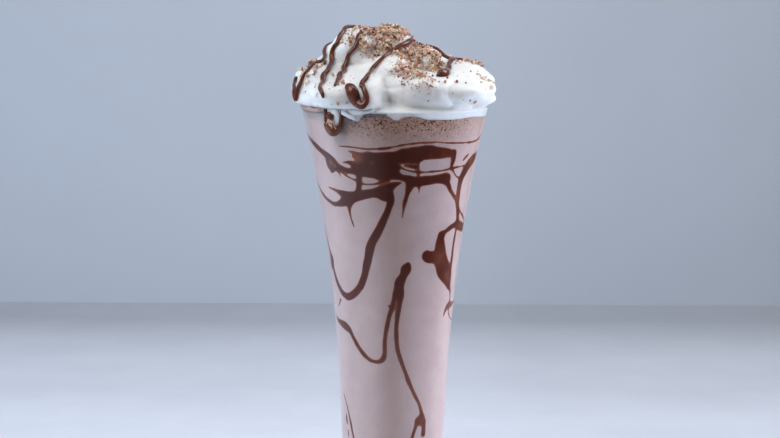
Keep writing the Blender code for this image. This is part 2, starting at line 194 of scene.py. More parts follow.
# What hangs outside the glass: a loop of sauce, the cream inside it, a bead and a pool of sauce on that
# cream, and cream that has run over the rim. Each has its lift off the wall in millimetres, its flatness,
# and guides as (angle from the front in degrees, depth below the rim, half width)
DRIP_PATHS = {
    "loop": (0.3, 0.75, [
        (-43.8, -5, 1), (-44.2, -1.5, 0.9), (-44.9, 3, 1.1), (-45, 6, 1.4), (-43.2, 8, 1.6),
        (-40, 8.6, 1.9), (-36.6, 7.4, 1.4), (-34.3, 5.2, 1), (-33.3, 2, 0.7), (-32.8, -1, 0.6),
        (-32.4, -4.5, 0.6),
    ]),
    "tongue": (0, 0.35, [
        (-38.2, -4.5, 3), (-38.2, 0, 3.1), (-37.4, 3, 2.5), (-37, 5, 2), (-37.4, 6.6, 1.4),
    ]),
    "bead": (1.3, 0.6, [
        (-42.2, 0.3, 0.8), (-40.4, 1.5, 1.6), (-39, 2.3, 1.3), (-38, 1.4, 0.8), (-37.4, 0.5, 0.6),
    ]),
    "pool": (0.5, 0.6, [(-43.6, 2.5, 1), (-43, 5, 1.8), (-41, 6.9, 2.1), (-37.6, 6.6, 1.2)]),
    "over_rim": (0, 0.4, [
        (-37, -1.4, 1.2), (-33, -0.7, 1.5), (-29, 0.2, 1.6), (-26, 1.5, 1.4), (-24, 3.2, 0.9),
    ]),
    "over_rim_right": (0, 0.4, [(-31, -1.2, 1.4), (-25, -0.6, 1.5), (-19, -0.9, 1.3), (-12, -1.4, 0.9)]),
    "stained_rim": (0, 0.4, [
        (-88, -0.6, 0.8), (-78, -0.5, 1.1), (-71, 0.1, 0.7), (-63, -0.2, 1.1), (-56, 0.2, 0.8),
        (-46, -0.6, 1),
    ]),
}
CREAM_DRIPS = ("tongue", "over_rim", "over_rim_right", "stained_rim")
SAUCE_DRIPS = ("loop", "bead", "pool")
# Crumbs on the tongue: their middle (turn, depth), spread in millimetres, and count
DRIP_CRUMBS = (-40, 4.9, 1.2, 80)
LARGEST_DRIP_CRUMB = 1.1
TONGUE_THICKNESS = 1.7

# Streaks of sauce on the inside of the glass, traced in the picture: (x, y, width) in pixels along each
# stroke
FRONT_STREAKS = {
    "lip_line": [
        (339.6, 146.2, 0.8), (349.8, 146.9, 1.5), (363.9, 148.7, 2), (376.6, 148.9, 2.3),
        (386.8, 148.2, 2.3), (403.4, 144.9, 2), (417.4, 143.2, 1.8), (434, 142.2, 1.5), (448.1, 142.9, 1.2),
        (460.8, 142.9, 1.4), (466, 142.6, 1.5), (473.6, 141.5, 1.3), (478.7, 138.3, 1.3),
        (480.7, 135.1, 1.2), (482.2, 130, 0.8),
    ],
    "upper_band": [
        (366.4, 156.1, 7.7), (374.1, 158, 10.8), (384.3, 158.4, 12.1), (394.5, 157.7, 12.8),
        (404.7, 156.1, 15.6), (414.9, 155.4, 16.6), (422.6, 153.1, 14.3), (430.2, 152.6, 13.3),
        (437.9, 152.8, 11.7), (445.5, 153.1, 9.2), (452.5, 153.6, 6.4),
    ],
    "upper_tip": [(349.2, 151.4, 1), (354.9, 152.9, 3.1), (361.3, 156.1, 7), (366.4, 158.7, 10.2)],
    "orange_film": [(353.7, 156.1, 3), (358.8, 158.7, 6.5), (362.6, 161.2, 7.7)],
    "right_hook": [
        (454.2, 152.9, 5.6), (453.2, 159.9, 5.1), (451.4, 167, 2.6), (453.2, 171.4, 1.7), (456, 175.9, 1.4),
        (459.3, 178.3, 1.1),
    ],
    "mass_upper": [
        (358.8, 163.8, 7.7), (369, 163.8, 14), (379.2, 165.1, 16.6), (389.4, 166.3, 14),
        (395.8, 168.2, 8.9),
    ],
    "mass_lower": [
        (354.9, 169.5, 7.7), (363.9, 171.4, 10.2), (374.1, 172.7, 11.5), (383, 175.3, 11.5),
        (390.7, 175.3, 8.9), (397, 175.3, 7.7),
    ],
    "second_tip": [(343.2, 162.5, 1), (348.6, 162.5, 3.3), (354.9, 165.1, 6.4)],
    "window_line": [
        (360.7, 183.5, 1.8), (366.4, 184.4, 1.8), (374.1, 184.2, 2.3), (381.7, 182.3, 3.3),
        (388.1, 179.7, 3.8),
    ],
    "ring_line": [
        (395.8, 164.4, 1.8), (400.9, 167.6, 1.8), (407.2, 170.4, 1.8), (417.4, 172.2, 1.9),
        (430.2, 171.8, 1.8), (443, 170.4, 1.7), (451.9, 168.2, 1.5), (459.5, 166.6, 1.3),
        (463.6, 165.8, 0.9),
    ],
    "lower_band": [
        (391.9, 174, 6.4), (400.9, 177.2, 6.4), (408.5, 179.1, 7.7), (416.2, 181.6, 9.7),
        (425.1, 180.9, 9.4), (435.3, 179.3, 8.7), (444.2, 178.1, 9.7), (447, 178.1, 8.9),
    ],
    "grey_patch": [(405.3, 165.7, 2), (409.8, 166.1, 3.8), (415.5, 167, 4.3)],
    "link": [(418.1, 161.2, 2.3), (418.2, 167.6, 1.5), (418.2, 176.5, 1.8)],
    "drip_middle": [(418.7, 185.7, 2.6), (419.1, 189.3, 1.5), (418.5, 194.6, 0.8)],
    "drip_tapered": [
        (410.4, 182.9, 8.9), (409.2, 188, 7.4), (407.2, 194.4, 5.1), (404.9, 202, 3.6), (403.4, 209.7, 2.3),
        (402.5, 217.6, 1),
    ],
    "right_leg": [
        (444.9, 180.4, 5.1), (448.1, 184.8, 4.3), (450.6, 190.6, 3.6), (453.9, 196.3, 2.8), (457, 202, 2.6),
    ],
    "left_arm": [
        (302.7, 115.3, 1), (304.6, 124.2, 1.8), (307.8, 134.4, 2.6), (314.1, 143.4, 3.8), (320.5, 150, 4.8),
        (326.9, 155.1, 5.6), (333.3, 160.2, 5.4), (339, 166.3, 4.6), (346, 170.2, 5.6), (354.9, 171.7, 5.9),
    ],
    "left_knob": [(328.4, 158.9, 6.4), (329.7, 163.8, 8.4), (331.7, 167.6, 7.1), (331.7, 170.9, 3.1)],
    "knob_bridge": [(332, 168.9, 3.1), (336.5, 168.9, 3.3), (339, 167.6, 2.6)],
    "knob_run": [(337.7, 169.5, 3.3), (339.6, 174, 1.3), (341.7, 178.8, 0.6)],
    "thin_curve": [(339, 169.5, 1.8), (344.7, 174.4, 1.8), (349.8, 177.6, 1.9), (357.5, 181, 2.6)],
    "left_link": [(358.8, 174, 6.1), (359.2, 181.6, 5.4), (358.8, 188, 5.6), (358.5, 193.1, 6.4)],
    "third_arm": [
        (329.2, 187.2, 0.8), (335.8, 190.3, 2.6), (342.2, 193.8, 5.9), (349.8, 197.2, 10.7),
        (357.5, 196.3, 9.4), (365.2, 194.4, 9.4), (372.8, 193.1, 9.2), (380.5, 191.6, 11.5),
        (388.1, 188, 9.9), (394.5, 184.8, 5.9), (400.4, 182.9, 1.8),
    ],
    "third_dark": [(376.6, 194.4, 5.1), (384.3, 195.7, 10.7), (388.8, 196.9, 8.9)],
    "arc": [
        (316.7, 176.5, 0.8), (318.2, 183.5, 1.8), (322, 192.3, 2.3), (328.2, 199.9, 2.8), (335.2, 204, 3.8),
        (340.9, 203.1, 6.1), (346, 200.1, 8.9),
    ],
    "body": [
        (346.7, 198.9, 11.5), (349.8, 202, 7.7), (349.6, 208.4, 3.6), (350.6, 216.1, 2.4),
        (352.4, 221.8, 1.5), (354.2, 226.9, 0.8),
    ],
    "long_curve": [
        (389.6, 193.1, 7.9), (390.7, 199.5, 7.1), (389.1, 207.1, 6.9), (384.5, 218, 7.1),
        (377.3, 232.7, 8.2), (370.9, 245.4, 8.4), (368.7, 255.6, 8.7), (366.4, 267.1, 7.4),
        (363.2, 279.8, 6.9), (357.5, 290.1, 6.9), (349.2, 296.7, 6.4), (342.2, 292, 4.8),
        (337.1, 281.1, 3.4), (333.9, 269.6, 3.3), (331.7, 256.9, 2.6), (328.8, 245.4, 1.8),
        (326.4, 233.9, 1.3), (325.1, 225.6, 1),
    ],
    "curve_blob": [(332, 258.2, 4.3), (332.2, 262, 4.8), (332.2, 266.5, 2.6)],
    "left_dash": [(340.6, 299.6, 1.6), (339.6, 303.5, 1.2), (338.7, 305.7, 0.6)],
    "right_stroke": [
        (476.9, 150.4, 1.5), (475.1, 156.1, 5.2), (471, 161.2, 7.2), (466.6, 167.6, 7.4),
        (462.6, 175.3, 6.8), (459.8, 184.2, 5.8), (458.3, 194.4, 5.1), (457.5, 202, 4.5), (457.8, 211, 3.9),
        (457.6, 218.6, 3.9), (457.2, 223.1, 4.6),
    ],
    "right_dash": [(463.2, 160.1, 1.2), (465.9, 156.9, 1.9), (468.6, 154.1, 1.1)],
    "right_loop": [(458.3, 208.4, 1.3), (461.6, 214.2, 1.5), (464, 220.5, 1.5), (463.1, 225, 3.3)],
    "right_knob": [(457.6, 224.4, 5.9), (460.8, 226.3, 5.6), (462.3, 228.3, 3.8)],
    "right_fork": [(456.7, 223.1, 5.1), (450.6, 227.3, 4.3), (445.5, 231.4, 4.6), (441.7, 235.5, 7.1)],
    "big_blob": [
        (441.2, 234.9, 6.4), (440.3, 240.3, 8.7), (440, 246.7, 11.5), (440.3, 253.1, 13),
        (440.7, 259.4, 13.8),
    ],
    "blob_low": [
        (441.7, 262, 14), (443.5, 268.4, 15.3), (445.3, 274.7, 11.7), (446.8, 279.8, 7.9),
        (448.4, 285.6, 3.8),
    ],
    "blob_knob": [(427.1, 255.9, 10.7), (429.2, 257.1, 11.7), (435.3, 257.1, 11)],
    "blob_edge": [
        (456.2, 228.8, 2), (454.4, 237.8, 2.4), (452.9, 248, 2.6), (451.8, 258.2, 2.9), (450.5, 267.1, 3.4),
        (450.1, 277.3, 2.3), (449.7, 284.9, 1.8),
    ],
    "tail": [
        (447.2, 282.1, 2.5), (448.2, 286, 3.3), (449.9, 290.9, 1.4), (449.7, 299.6, 1.5),
        (448.9, 304.5, 3.3), (448.2, 310.4, 1), (448.7, 314.8, 1), (450.2, 318.2, 1.2), (451.8, 320.7, 0.9),
    ],
    "tail_branch": [
        (454.6, 299.8, 1.8), (451.4, 303.8, 3.3), (447.8, 305.7, 3.7), (445.6, 309.4, 2.9),
        (444.3, 312.8, 1.8), (443.4, 315.8, 0.9),
    ],
    "curl_head": [
        (408, 265.3, 6.4), (406.2, 269.1, 10.5), (403.7, 274.5, 8.4), (401.1, 279.8, 9.2),
        (401.1, 279.8, 8.8), (399.1, 286.2, 9), (397.8, 292.6, 8.4),
    ],
    "curl_neck": [(399.4, 282.6, 7.8), (399, 287.9, 8.2), (398.4, 293.8, 8.4), (398, 296.5, 6)],
    "curl_left": [
        (396, 293.8, 4.9), (393.8, 301.1, 4.7), (392.3, 307.4, 4.4), (389.9, 314.3, 4.1), (387.6, 324, 4.1),
        (385.2, 335.7, 4.1), (384.8, 345.5, 4.4), (384.6, 353.3, 4.4), (383.2, 358.7, 4.9),
        (379.7, 361.6, 4.5), (375.3, 361.6, 4.1), (369.9, 359.7, 4.1), (364, 354.3, 4.1),
        (358.4, 346.7, 3.9), (353.5, 337.7, 3.9), (349.9, 330.1, 4.9), (346, 326.5, 6.6),
        (342.6, 323.7, 4.9), (338.7, 320.3, 2.9), (336.7, 315.3, 1.2),
    ],
    "curl_tick": [(388.6, 305.7, 1.6), (390.2, 307, 2)],
    "curl_right": [
        (400.9, 290.9, 5.5), (399.9, 299.6, 5.9), (398.7, 309.4, 5.1), (397.1, 319.2, 4.7),
        (396.3, 328.9, 4.5), (396.3, 338.7, 4.5), (397.3, 347.5, 4.5), (399.7, 357.2, 4.3),
        (403.3, 367, 4.2), (408.1, 379.7, 4.1), (412.1, 389.4, 3.7), (415.8, 397.2, 3.3),
        (419.1, 404.1, 3.3), (421, 410.9, 3.5), (421.8, 416.3, 4.9),
    ],
    "curl_fork": [(419.9, 420.2, 8.2), (421.1, 421.6, 7.8)],
    "fork_left": [(417.5, 421.1, 4.9), (415, 428.5, 3.9), (412.8, 435.3, 3.7), (411.5, 441.1, 3.5)],
    "fork_right": [(423.4, 421.1, 4.5), (423.5, 428.5, 4.5), (423, 434.3, 4.7)],
    "low_left": [
        (344, 393.8, 0.8), (346, 401.1, 1.3), (348.4, 410.9, 1.5), (350.6, 421.6, 1.8), (352.3, 430.4, 2),
        (354.3, 440.2, 1.8),
    ],
    "low_left_dash": [(346.7, 414, 0.8), (346.8, 418.7, 2), (347.6, 423.8, 0.8)],
    "low_left_tick": [(348.4, 430.4, 0.9), (348.5, 436.3, 1.2)],
}
# Where a streak is only a thin film, in pixels: (x, y, radius, how much of its tone goes)
THIN_FILMS = (
    (357, 158, 6, 0.9), (331, 162.5, 3, 0.7), (372, 163, 2.5, 0.5), (440, 257, 14, 0.45),
    (447, 277, 10, 0.45), (458, 196, 16, 0.55), (472, 158, 12, 0.6), (446, 158, 10, 0.35),
    (460, 225, 9, 0.6), (400, 365, 60, 0.4), (421, 420, 9, 0.4), (449, 305, 9, 0.6),
)

# Streaks on the far side, which the picture doesn't show: (turn from the back in degrees, depth, width) in
# millimetres
BACK_STREAKS = {
    "band": [(-66, 22, 1), (-42, 20, 2.6), (-18, 24, 4.6), (8, 23, 4.2), (34, 20, 3), (60, 24, 1.2)],
    "second_band": [(-50, 33, 1.4), (-26, 35, 3.2), (-4, 31, 3.6), (22, 33, 2), (44, 38, 1)],
    "pool": [(-14, 27, 5), (-6, 29, 7), (2, 28, 4.5)],
    "left_run": [(-52, 28, 1.6), (-58, 44, 1.8), (-50, 66, 2.2), (-34, 84, 2.4), (-28, 96, 1.4)],
    "middle_run": [
        (-8, 32, 3), (-2, 52, 2.6), (-12, 74, 3.4), (-30, 92, 2.6), (-22, 112, 2.2), (-6, 124, 1.2),
    ],
    "right_run": [(30, 24, 2), (38, 44, 1.8), (30, 66, 2), (36, 88, 2.2), (24, 112, 2.4), (30, 138, 1.8)],
    "right_pool": [(36, 78, 3), (34, 84, 5), (31, 90, 3)],
    "loop": [(-10, 86, 3), (2, 102, 2.2), (12, 118, 2.2), (4, 134, 2.4), (-12, 140, 2), (-26, 132, 1.2)],
    "low_run": [(12, 118, 2), (22, 134, 2), (16, 152, 1.6)],
    "low_tick": [(-40, 126, 0.8), (-36, 144, 1), (-42, 156, 0.8)],
}
STREAK_GRID_MM = 0.25
STREAK_BLEND = 0.45
STREAK_HALF_SPAN = math.radians(100.0)
# How far the streaks' outline wanders, their thickness at the edge, and how far in from it they are whole
# in thickness and in tone
STREAK_WOBBLE = 0.16
STREAK_EDGE = 0.25
STREAK_FULL_DEPTH = 1.8
TONE_FULL_DEPTH = 0.7

# Crumbs: falls of crumbs seen from in front at (x, z above the rim), with a spread in millimetres and a
# count
CRUMB_FALLS = (
    (-18, 28, 3.5, 50), (-12, 31, 4.5, 170), (-5, 30, 5, 280), (2, 30, 5, 260), (8, 26, 5.5, 250),
    (-4, 24.5, 5, 230), (4, 21, 6, 250), (13, 21, 5, 240), (18, 17, 4, 100), (5, 14, 5, 190),
    (-12, 24, 3.5, 80), (12, 10, 5, 80), (-34, 17.5, 4.5, 80), (-38, 13, 4, 40), (-28, 14, 6, 34),
    (26, 20.5, 3.5, 80), (33, 18, 3.5, 60), (38, 11, 3.5, 26), (-24, 6, 7, 26), (-42, 4.5, 1.5, 10),
    (30, 8, 9, 18),
)
# The same for the far side, as directions (x, y, z) from the centre of the mouth
FAR_CRUMB_FALLS = (
    (0, 10, 30, 9, 300), (12, 16, 20, 8, 180), (-16, 18, 20, 8, 150),
)
# Share of the crumbs under the drizzle that stay on its sides
CRUMBS_ON_DRIZZLE = 0.12
# Each kind of crumb: its share, its colours from its darkest to its palest grain, and its roughness
CRUMB_KINDS = (
    ("biscuit", 0.62, [(0.0, "#B4836C"), (0.5, "#D8AF98"), (1.0, "#F1D9C6")], 0.6),
    ("cocoa", 0.22, [(0.0, "#4E2E25"), (0.5, "#7C5041"), (1.0, "#A67A69")], 0.4),
    ("nut", 0.16, [(0.0, "#C9AF88"), (1.0, "#EDDFBE")], 0.6),
)
GRAIN_SHAPES = 12
CUBE_POINTS = [place for place in itertools.product((-1, 0, 1), repeat=3) if place != (0, 0, 0)]

# Studio, in metres: the floor reaches this far to the front and sides, and the wall stands behind the glass
FLOOR_REACH = 3.0
WALL_AT = 0.63
WALL_HALF_WIDTH = 0.9
WALL_HEIGHT = 1.3
# Painted shade of the studio along Y and X, in metres: the floor darkens toward the wall, both to the right
FLOOR_PAINTED_SHADE = (
    (0.2, "#FFFFFF"), (0.27, "#FFFFFF"), (0.35, "#F2F2F2"), (0.43, "#EFEFEF"), (0.5, "#E0E0E0"),
    (0.57, "#C8C8C8"), (0.63, "#CCCCCC"),
)
# Painted shade on floor and wall: they darken to the right, where shade falls
SIDE_PAINTED_SHADE = ((-0.25, "#FFFFFF"), (0.0, "#FAFAFA"), (0.1, "#ECECEC"), (0.3, "#DADADA"), (0.42, "#707070"))
# Where the floor turns dark: far from the glass, in front of it, and less on the left
DARK_LIMITS = (
    {"From Min": 0.27, "From Max": 0.36},
    {"From Min": 0.15, "From Max": 0.0},
    {"From Min": -0.25, "From Max": -0.05, "To Min": 0.35},
)
# Soft boxes: name, place, height on the axis that it is aimed at, size, the setting that gives its power,
# its share of that, its colour, and whether the glass mirrors it
SOFT_BOXES = (
    ("key", (0.6, 0.3, 0.85), 0.2, 0.5, "key_power", 1.0, "#FFFFFF", True),
    ("side", (0.8, 0.12, 0.25), 0.15, 0.8, "side_power", 1.0, "#FCFFFF", False),
    ("fill", (-0.5, -0.3, 0.75), 0.2, 0.5, "fill_power", 1.0, "#FAFCFF", True),
    ("top", (0, -0.12, 1.2), 0.2, 0.35, "top_power", 1.0, "#DAEDFF", True),
    ("low_left", (-0.7, 0, 0.1), 0.1, 0.2, "low_power", 1.0, "#C4E4FF", False),
    ("low_right", (0.7, 0, 0.1), 0.1, 0.2, "low_power", 1.3, "#D0E4FF", False),
)


def length_setting(name, description, millimetres):
    """A length of the panel, whose default is given in millimetres."""
    kind = {"unit": "LENGTH", "subtype": "DISTANCE"}
    return FloatProperty(name=name, description=description, default=millimetres * MM, **kind)


def power_setting(name, description, watts):
    """A lamp's power in the panel."""
    return FloatProperty(name=name, description=description, default=watts, unit="POWER")


class GlassSettings(bpy.types.PropertyGroup):
    wall_tint: FloatVectorProperty(
        name="Glass colour",
        description="Faint cool tint of clear soda-lime glass",
        subtype="COLOR",
        size=3,
        min=0,
        max=1,
        default=(0.94, 0.96, 0.98),
    )
    columns: IntProperty(name="Facets around", description="Columns of the glass", default=160, min=24)


class DrinkSettings(bpy.types.PropertyGroup):
    level: length_setting("Level below the rim", "How far the milkshake's surface lies below the rim", 0.5)
    pore_size: length_setting("Foam pore size", "Size of the dark bubbles near the milkshake's top", 0.75)


class CreamSettings(bpy.types.PropertyGroup):
    softness: length_setting("Light inside", "How far light spreads inside the whipped cream", 3.5)


class SauceSettings(bpy.types.PropertyGroup):
    streak_thickness: length_setting("Streak thickness", "Greatest thickness of the inner streaks", 1.4)
    drizzle_scale: FloatProperty(
        name="Drizzle width", description="Factor on the width of the drizzle", default=1.0, min=0.5, max=1.5
    )


class CrumbSettings(bpy.types.PropertyGroup):
    smallest: length_setting("Smallest crumb", "Size of the finest crumbs", 0.5)
    largest: length_setting("Largest crumb", "Size of the coarsest crumbs", 2.4)
    seed: IntProperty(name="Seed", description="Seed of the scattering", default=5)


class StageSettings(bpy.types.PropertyGroup):
    key_power: power_setting("Key light", "Power of the soft box above on the right", 4.2)
    side_power: power_setting("Side light", "Power of the large soft box on the right", 4.3)
    fill_power: power_setting("Fill light", "Power of the soft box above on the left", 3.4)
    top_power: power_setting("Top light", "Power of the soft box overhead", 2.2)
    low_power: power_setting("Low lights", "Power of the low left box; the right one has 1.3 times that", 2.4)
    snoot_power: power_setting("Cream light", "Power of the narrow low lamp on the cream's front", 5.0)
    room_strength: FloatProperty(name="Room light", description="Strength of light all round", default=0.08)
    ceiling_strength: FloatProperty(name="Ceiling", description="What the ceiling adds to it", default=0.33)


def linear(colour):
    """Linear RGBA of an sRGB hex colour such as "#C8A080"."""
    channels = np.array([int(colour[i : i + 2], 16) for i in (1, 3, 5)]) / 255
    low, high = channels / 12.92, ((channels + 0.055) / 1.055) ** 2.4
    return (*(float(c) for c in np.where(channels <= 0.04045, low, high)), 1.0)


def add_node(tree, kind, settings=None, inputs=None, links=None, stops=()):
    """Adds a shader node, sets its properties, its socket values and a ramp's (place, hex colour) stops,
    and links its sockets to (node, output) pairs."""
    node = tree.nodes.new(kind)
    for name, value in (settings or {}).items():
        setattr(node, name, value)
    for name, value in (inputs or {}).items():
        node.inputs[name].default_value = value
    for name, (other, socket) in (links or {}).items():
        tree.links.new(other.outputs[socket], node.inputs[name])
    for number, (place, colour) in enumerate(stops):
        elements = node.color_ramp.elements
        stop = elements[number] if number < len(elements) else elements.new(place)
        stop.position = place
        stop.color = linear(colour)
    return node


def new_material(name):
    """An empty material and its node tree."""
    material = bpy.data.materials.new(name)
    material.use_nodes = True
    material.node_tree.nodes.clear()
    return material, material.node_tree


def finished(material, shader):
    """The material with this shader on its surface."""
    add_node(material.node_tree, "ShaderNodeOutputMaterial", links={"Surface": (shader, 0)})
    return material


def mottled(tree, size_mm, detail, roughness, stops):
    """Cloudy noise with lumps of this size, fixed to the object, and the colours that it spreads."""
    place = add_node(tree, "ShaderNodeTexCoord")
    form = {"Scale": 1 / (size_mm * MM), "Detail": detail, "Roughness": roughness}
    cloud = add_node(tree, "ShaderNodeTexNoise", inputs=form, links={"Vector": (place, "Object")})
    return cloud, add_node(tree, "ShaderNodeValToRGB", links={"Fac": (cloud, "Fac")}, stops=stops)


def toned(tree, attribute, size_mm, stops):
    """A ramp of colours driven by a tone that the mesh carries, which cloudy noise swings by a quarter
    either way."""
    cloud, colours = mottled(tree, size_mm, 3.0, 0.5, stops)
    tone = add_node(tree, "ShaderNodeAttribute", {"attribute_name": attribute})
    half = {1: 0.5, 2: -0.25}
    swing = add_node(tree, "ShaderNodeMath", {"operation": "MULTIPLY_ADD"}, half, {0: (cloud, "Fac")})
    terms = {0: (tone, "Fac"), 1: (swing, "Value")}
    total = add_node(tree, "ShaderNodeMath", {"operation": "ADD"}, links=terms)
    tree.links.new(total.outputs["Value"], colours.inputs["Fac"])
    return colours


def outward(points, faces):
    """The faces turned so that their volume, a sixth of the sum of a . (b x c) over triangles, is above 0."""
    volume = 0.0
    for group in faces:
        corners = points[group]
        for i in range(1, group.shape[1] - 1):
            volume += np.einsum("ij,ij->", corners[:, 0], np.cross(corners[:, i], corners[:, i + 1]))
    return faces if volume > 0 else [group[:, ::-1] for group in faces]


def make_piece(name, points, faces, material, smooth=True, attributes=None, replaced=()):
    """A closed piece from points in millimetres and arrays of triangles or quads, riding on the body."""
    points = np.asarray(points, float)
    groups = outward(points, [np.asarray(group) for group in faces if len(group)])
    sizes = np.concatenate([np.full(len(group), group.shape[1]) for group in groups])
    corners = np.concatenate([group.ravel() for group in groups]).astype(np.int32)
    mesh = bpy.data.meshes.new(name)
    mesh.vertices.add(len(points))
    mesh.vertices.foreach_set("co", (points * MM).astype(np.float32).ravel())
    mesh.loops.add(len(corners))
    mesh.loops.foreach_set("vertex_index", corners)
    mesh.polygons.add(len(sizes))
    mesh.polygons.foreach_set("loop_start", np.concatenate([[0], np.cumsum(sizes)[:-1]]).astype(np.int32))
    mesh.polygons.foreach_set("use_smooth", np.full(len(sizes), smooth))
    mesh.update(calc_edges=True)
    for key, values in (attributes or {}).items():
        layer = mesh.attributes.new(key, "FLOAT", "POINT")
        layer.data.foreach_set("value", np.asarray(values, np.float32))
    mesh.materials.append(material)
    piece = bpy.data.objects.new(name, mesh)
    bpy.context.scene.collection.objects.link(piece)
    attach(piece, "root")
    if replaced:
        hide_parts(*replaced)
    return piece


def closed_grid(rows, first_pole, last_pole):
    """A grid of points (row, column, xyz), closed round its columns and by a pole before its first row and
    after its last. Returns the points, the quads between rows and the triangles round the poles."""
    count, columns = rows.shape[:2]
    points = np.vstack([rows.reshape(-1, 3), [first_pole], [last_pole]])
    index = np.arange(count * columns).reshape(count, columns)
    right = np.roll(index, -1, axis=1)
    quads = np.stack([index[:-1], right[:-1], right[1:], index[1:]], axis=-1).reshape(-1, 4)
    first = np.stack([right[0], index[0], np.full(columns, count * columns)], axis=-1)
    last = np.stack([index[-1], right[-1], np.full(columns, count * columns + 1)], axis=-1)
    return points, quads, np.vstack([first, last])


def turned(profile, columns):
    """Surface of revolution: each (radius, height) of the profile times the unit circle; its ends are on
    the axis."""
    angle = np.linspace(0, 2 * math.pi, columns, endpoint=False)
    radius, height = np.asarray(profile, float)[1:-1].T
    level = np.broadcast_to(height[:, None], (len(height), columns))
    rows = np.stack([radius[:, None] * np.cos(angle), radius[:, None] * np.sin(angle), level], axis=-1)
    return closed_grid(rows, (0, 0, profile[0][1]), (0, 0, profile[-1][1]))


def outer_radius(depth):
    """Outer radius of the bowl at a depth below the rim: the flare falls to the waist as a power."""
    return WAIST_RADIUS + (RIM_RADIUS - WAIST_RADIUS) * np.maximum(1 - depth / FLARE_REACH, 0) ** FLARE_POWER


def inner_radius(depth):
    """Inner radius of the bowl: the wall thickens evenly from the rim to the base."""
    wall = WALL_AT_RIM + (WALL_AT_BASE - WALL_AT_RIM) * depth / BOWL_DEPTH
    return outer_radius(depth) - wall


def arc(centre, radii, start, end, steps):
    """Points on an ellipse's arc in the (radius, height) plane, angles in degrees."""
    angles = np.radians(np.linspace(start, end, steps + 1))
    return np.column_stack([centre[0] + radii[0] * np.cos(angles), centre[1] + radii[1] * np.sin(angles)])


def inner_wall(into_wall, top_depth, steps):
    """The inside of the bowl from near its axis up to top_depth, moved out into the wall by into_wall."""
    floor = GLASS_HEIGHT - INNER_DEPTH - into_wall
    corner_depth = INNER_DEPTH - INNER_CORNER_RADIUS
    corner_centre = inner_radius(corner_depth) + into_wall - INNER_CORNER_RADIUS
    corner_radii = (INNER_CORNER_RADIUS, INNER_CORNER_RADIUS + into_wall)
    corner = arc((corner_centre, GLASS_HEIGHT - corner_depth), corner_radii, -90, 0, 12)
    depths = np.linspace(corner_depth, top_depth, steps)[1:]
    wall = np.column_stack([inner_radius(depths) + into_wall, GLASS_HEIGHT - depths])
    return np.vstack([[(0.0, floor)], corner, wall])


def glass_profile():
    """Closed section of the glass: up the inside, over the lip, down the outside, stem and foot."""
    lip = WALL_AT_RIM / 2
    inside = inner_wall(0.0, lip, 60)
    over = arc((RIM_RADIUS - lip - LIP_INSET, GLASS_HEIGHT - lip), (lip, lip), 180, 0, 12)[1:-1]
    depths = np.linspace(lip, BOWL_DEPTH, 70)
    outside = np.column_stack([outer_radius(depths), GLASS_HEIGHT - depths])
    radius, height = outside[-1]
    round_end = arc((STEM_RADIUS, height), (radius - STEM_RADIUS, height - STEM_TOP), 0, -90, 18)[1:]
    flare = arc((FOOT_WAIST, STEM_BOTTOM), (FOOT_WAIST - STEM_RADIUS, STEM_BOTTOM - FOOT_RISE), 180, 270, 14)
    edge = arc((FOOT_RADIUS - FOOT_EDGE, FOOT_THICKNESS - FOOT_EDGE), (FOOT_EDGE, FOOT_EDGE), 90, 0, 6)
    chamfer = [(FOOT_RADIUS, FOOT_CHAMFER), (FOOT_RADIUS - FOOT_CHAMFER, 0.0)]
    under = [(FOOT_RADIUS - FOOT_RING, 0.0), (0.0, 0.0)]
    return np.vstack([inside, over, outside, round_end, flare, edge, chamfer, under])


def clear_glass():
    """Pressed and fire-polished soda-lime glass: colourless, mirror smooth, IOR 1.5, so its edges gather
    the room's light and its thick base bends what lies behind. Shadow rays pass, as lamps light the drink
    through the wall."""
    tint = bpy.context.scene.milkshake_glass.wall_tint
    material, tree = new_material("fire_polished_soda_lime_glass")
    form = {"Base Color": (*tint, 1.0), "Roughness": 0.015, "IOR": GLASS_IOR, "Transmission Weight": 1.0}
    glass = add_node(tree, "ShaderNodeBsdfPrincipled", inputs=form)
    clear = add_node(tree, "ShaderNodeBsdfTransparent", inputs={"Color": (0.95, 0.96, 0.97, 1.0)})
    path = add_node(tree, "ShaderNodeLightPath")
    ends = {"Fac": (path, "Is Shadow Ray"), 1: (glass, 0), 2: (clear, 0)}
    return finished(material, add_node(tree, "ShaderNodeMixShader", links=ends))


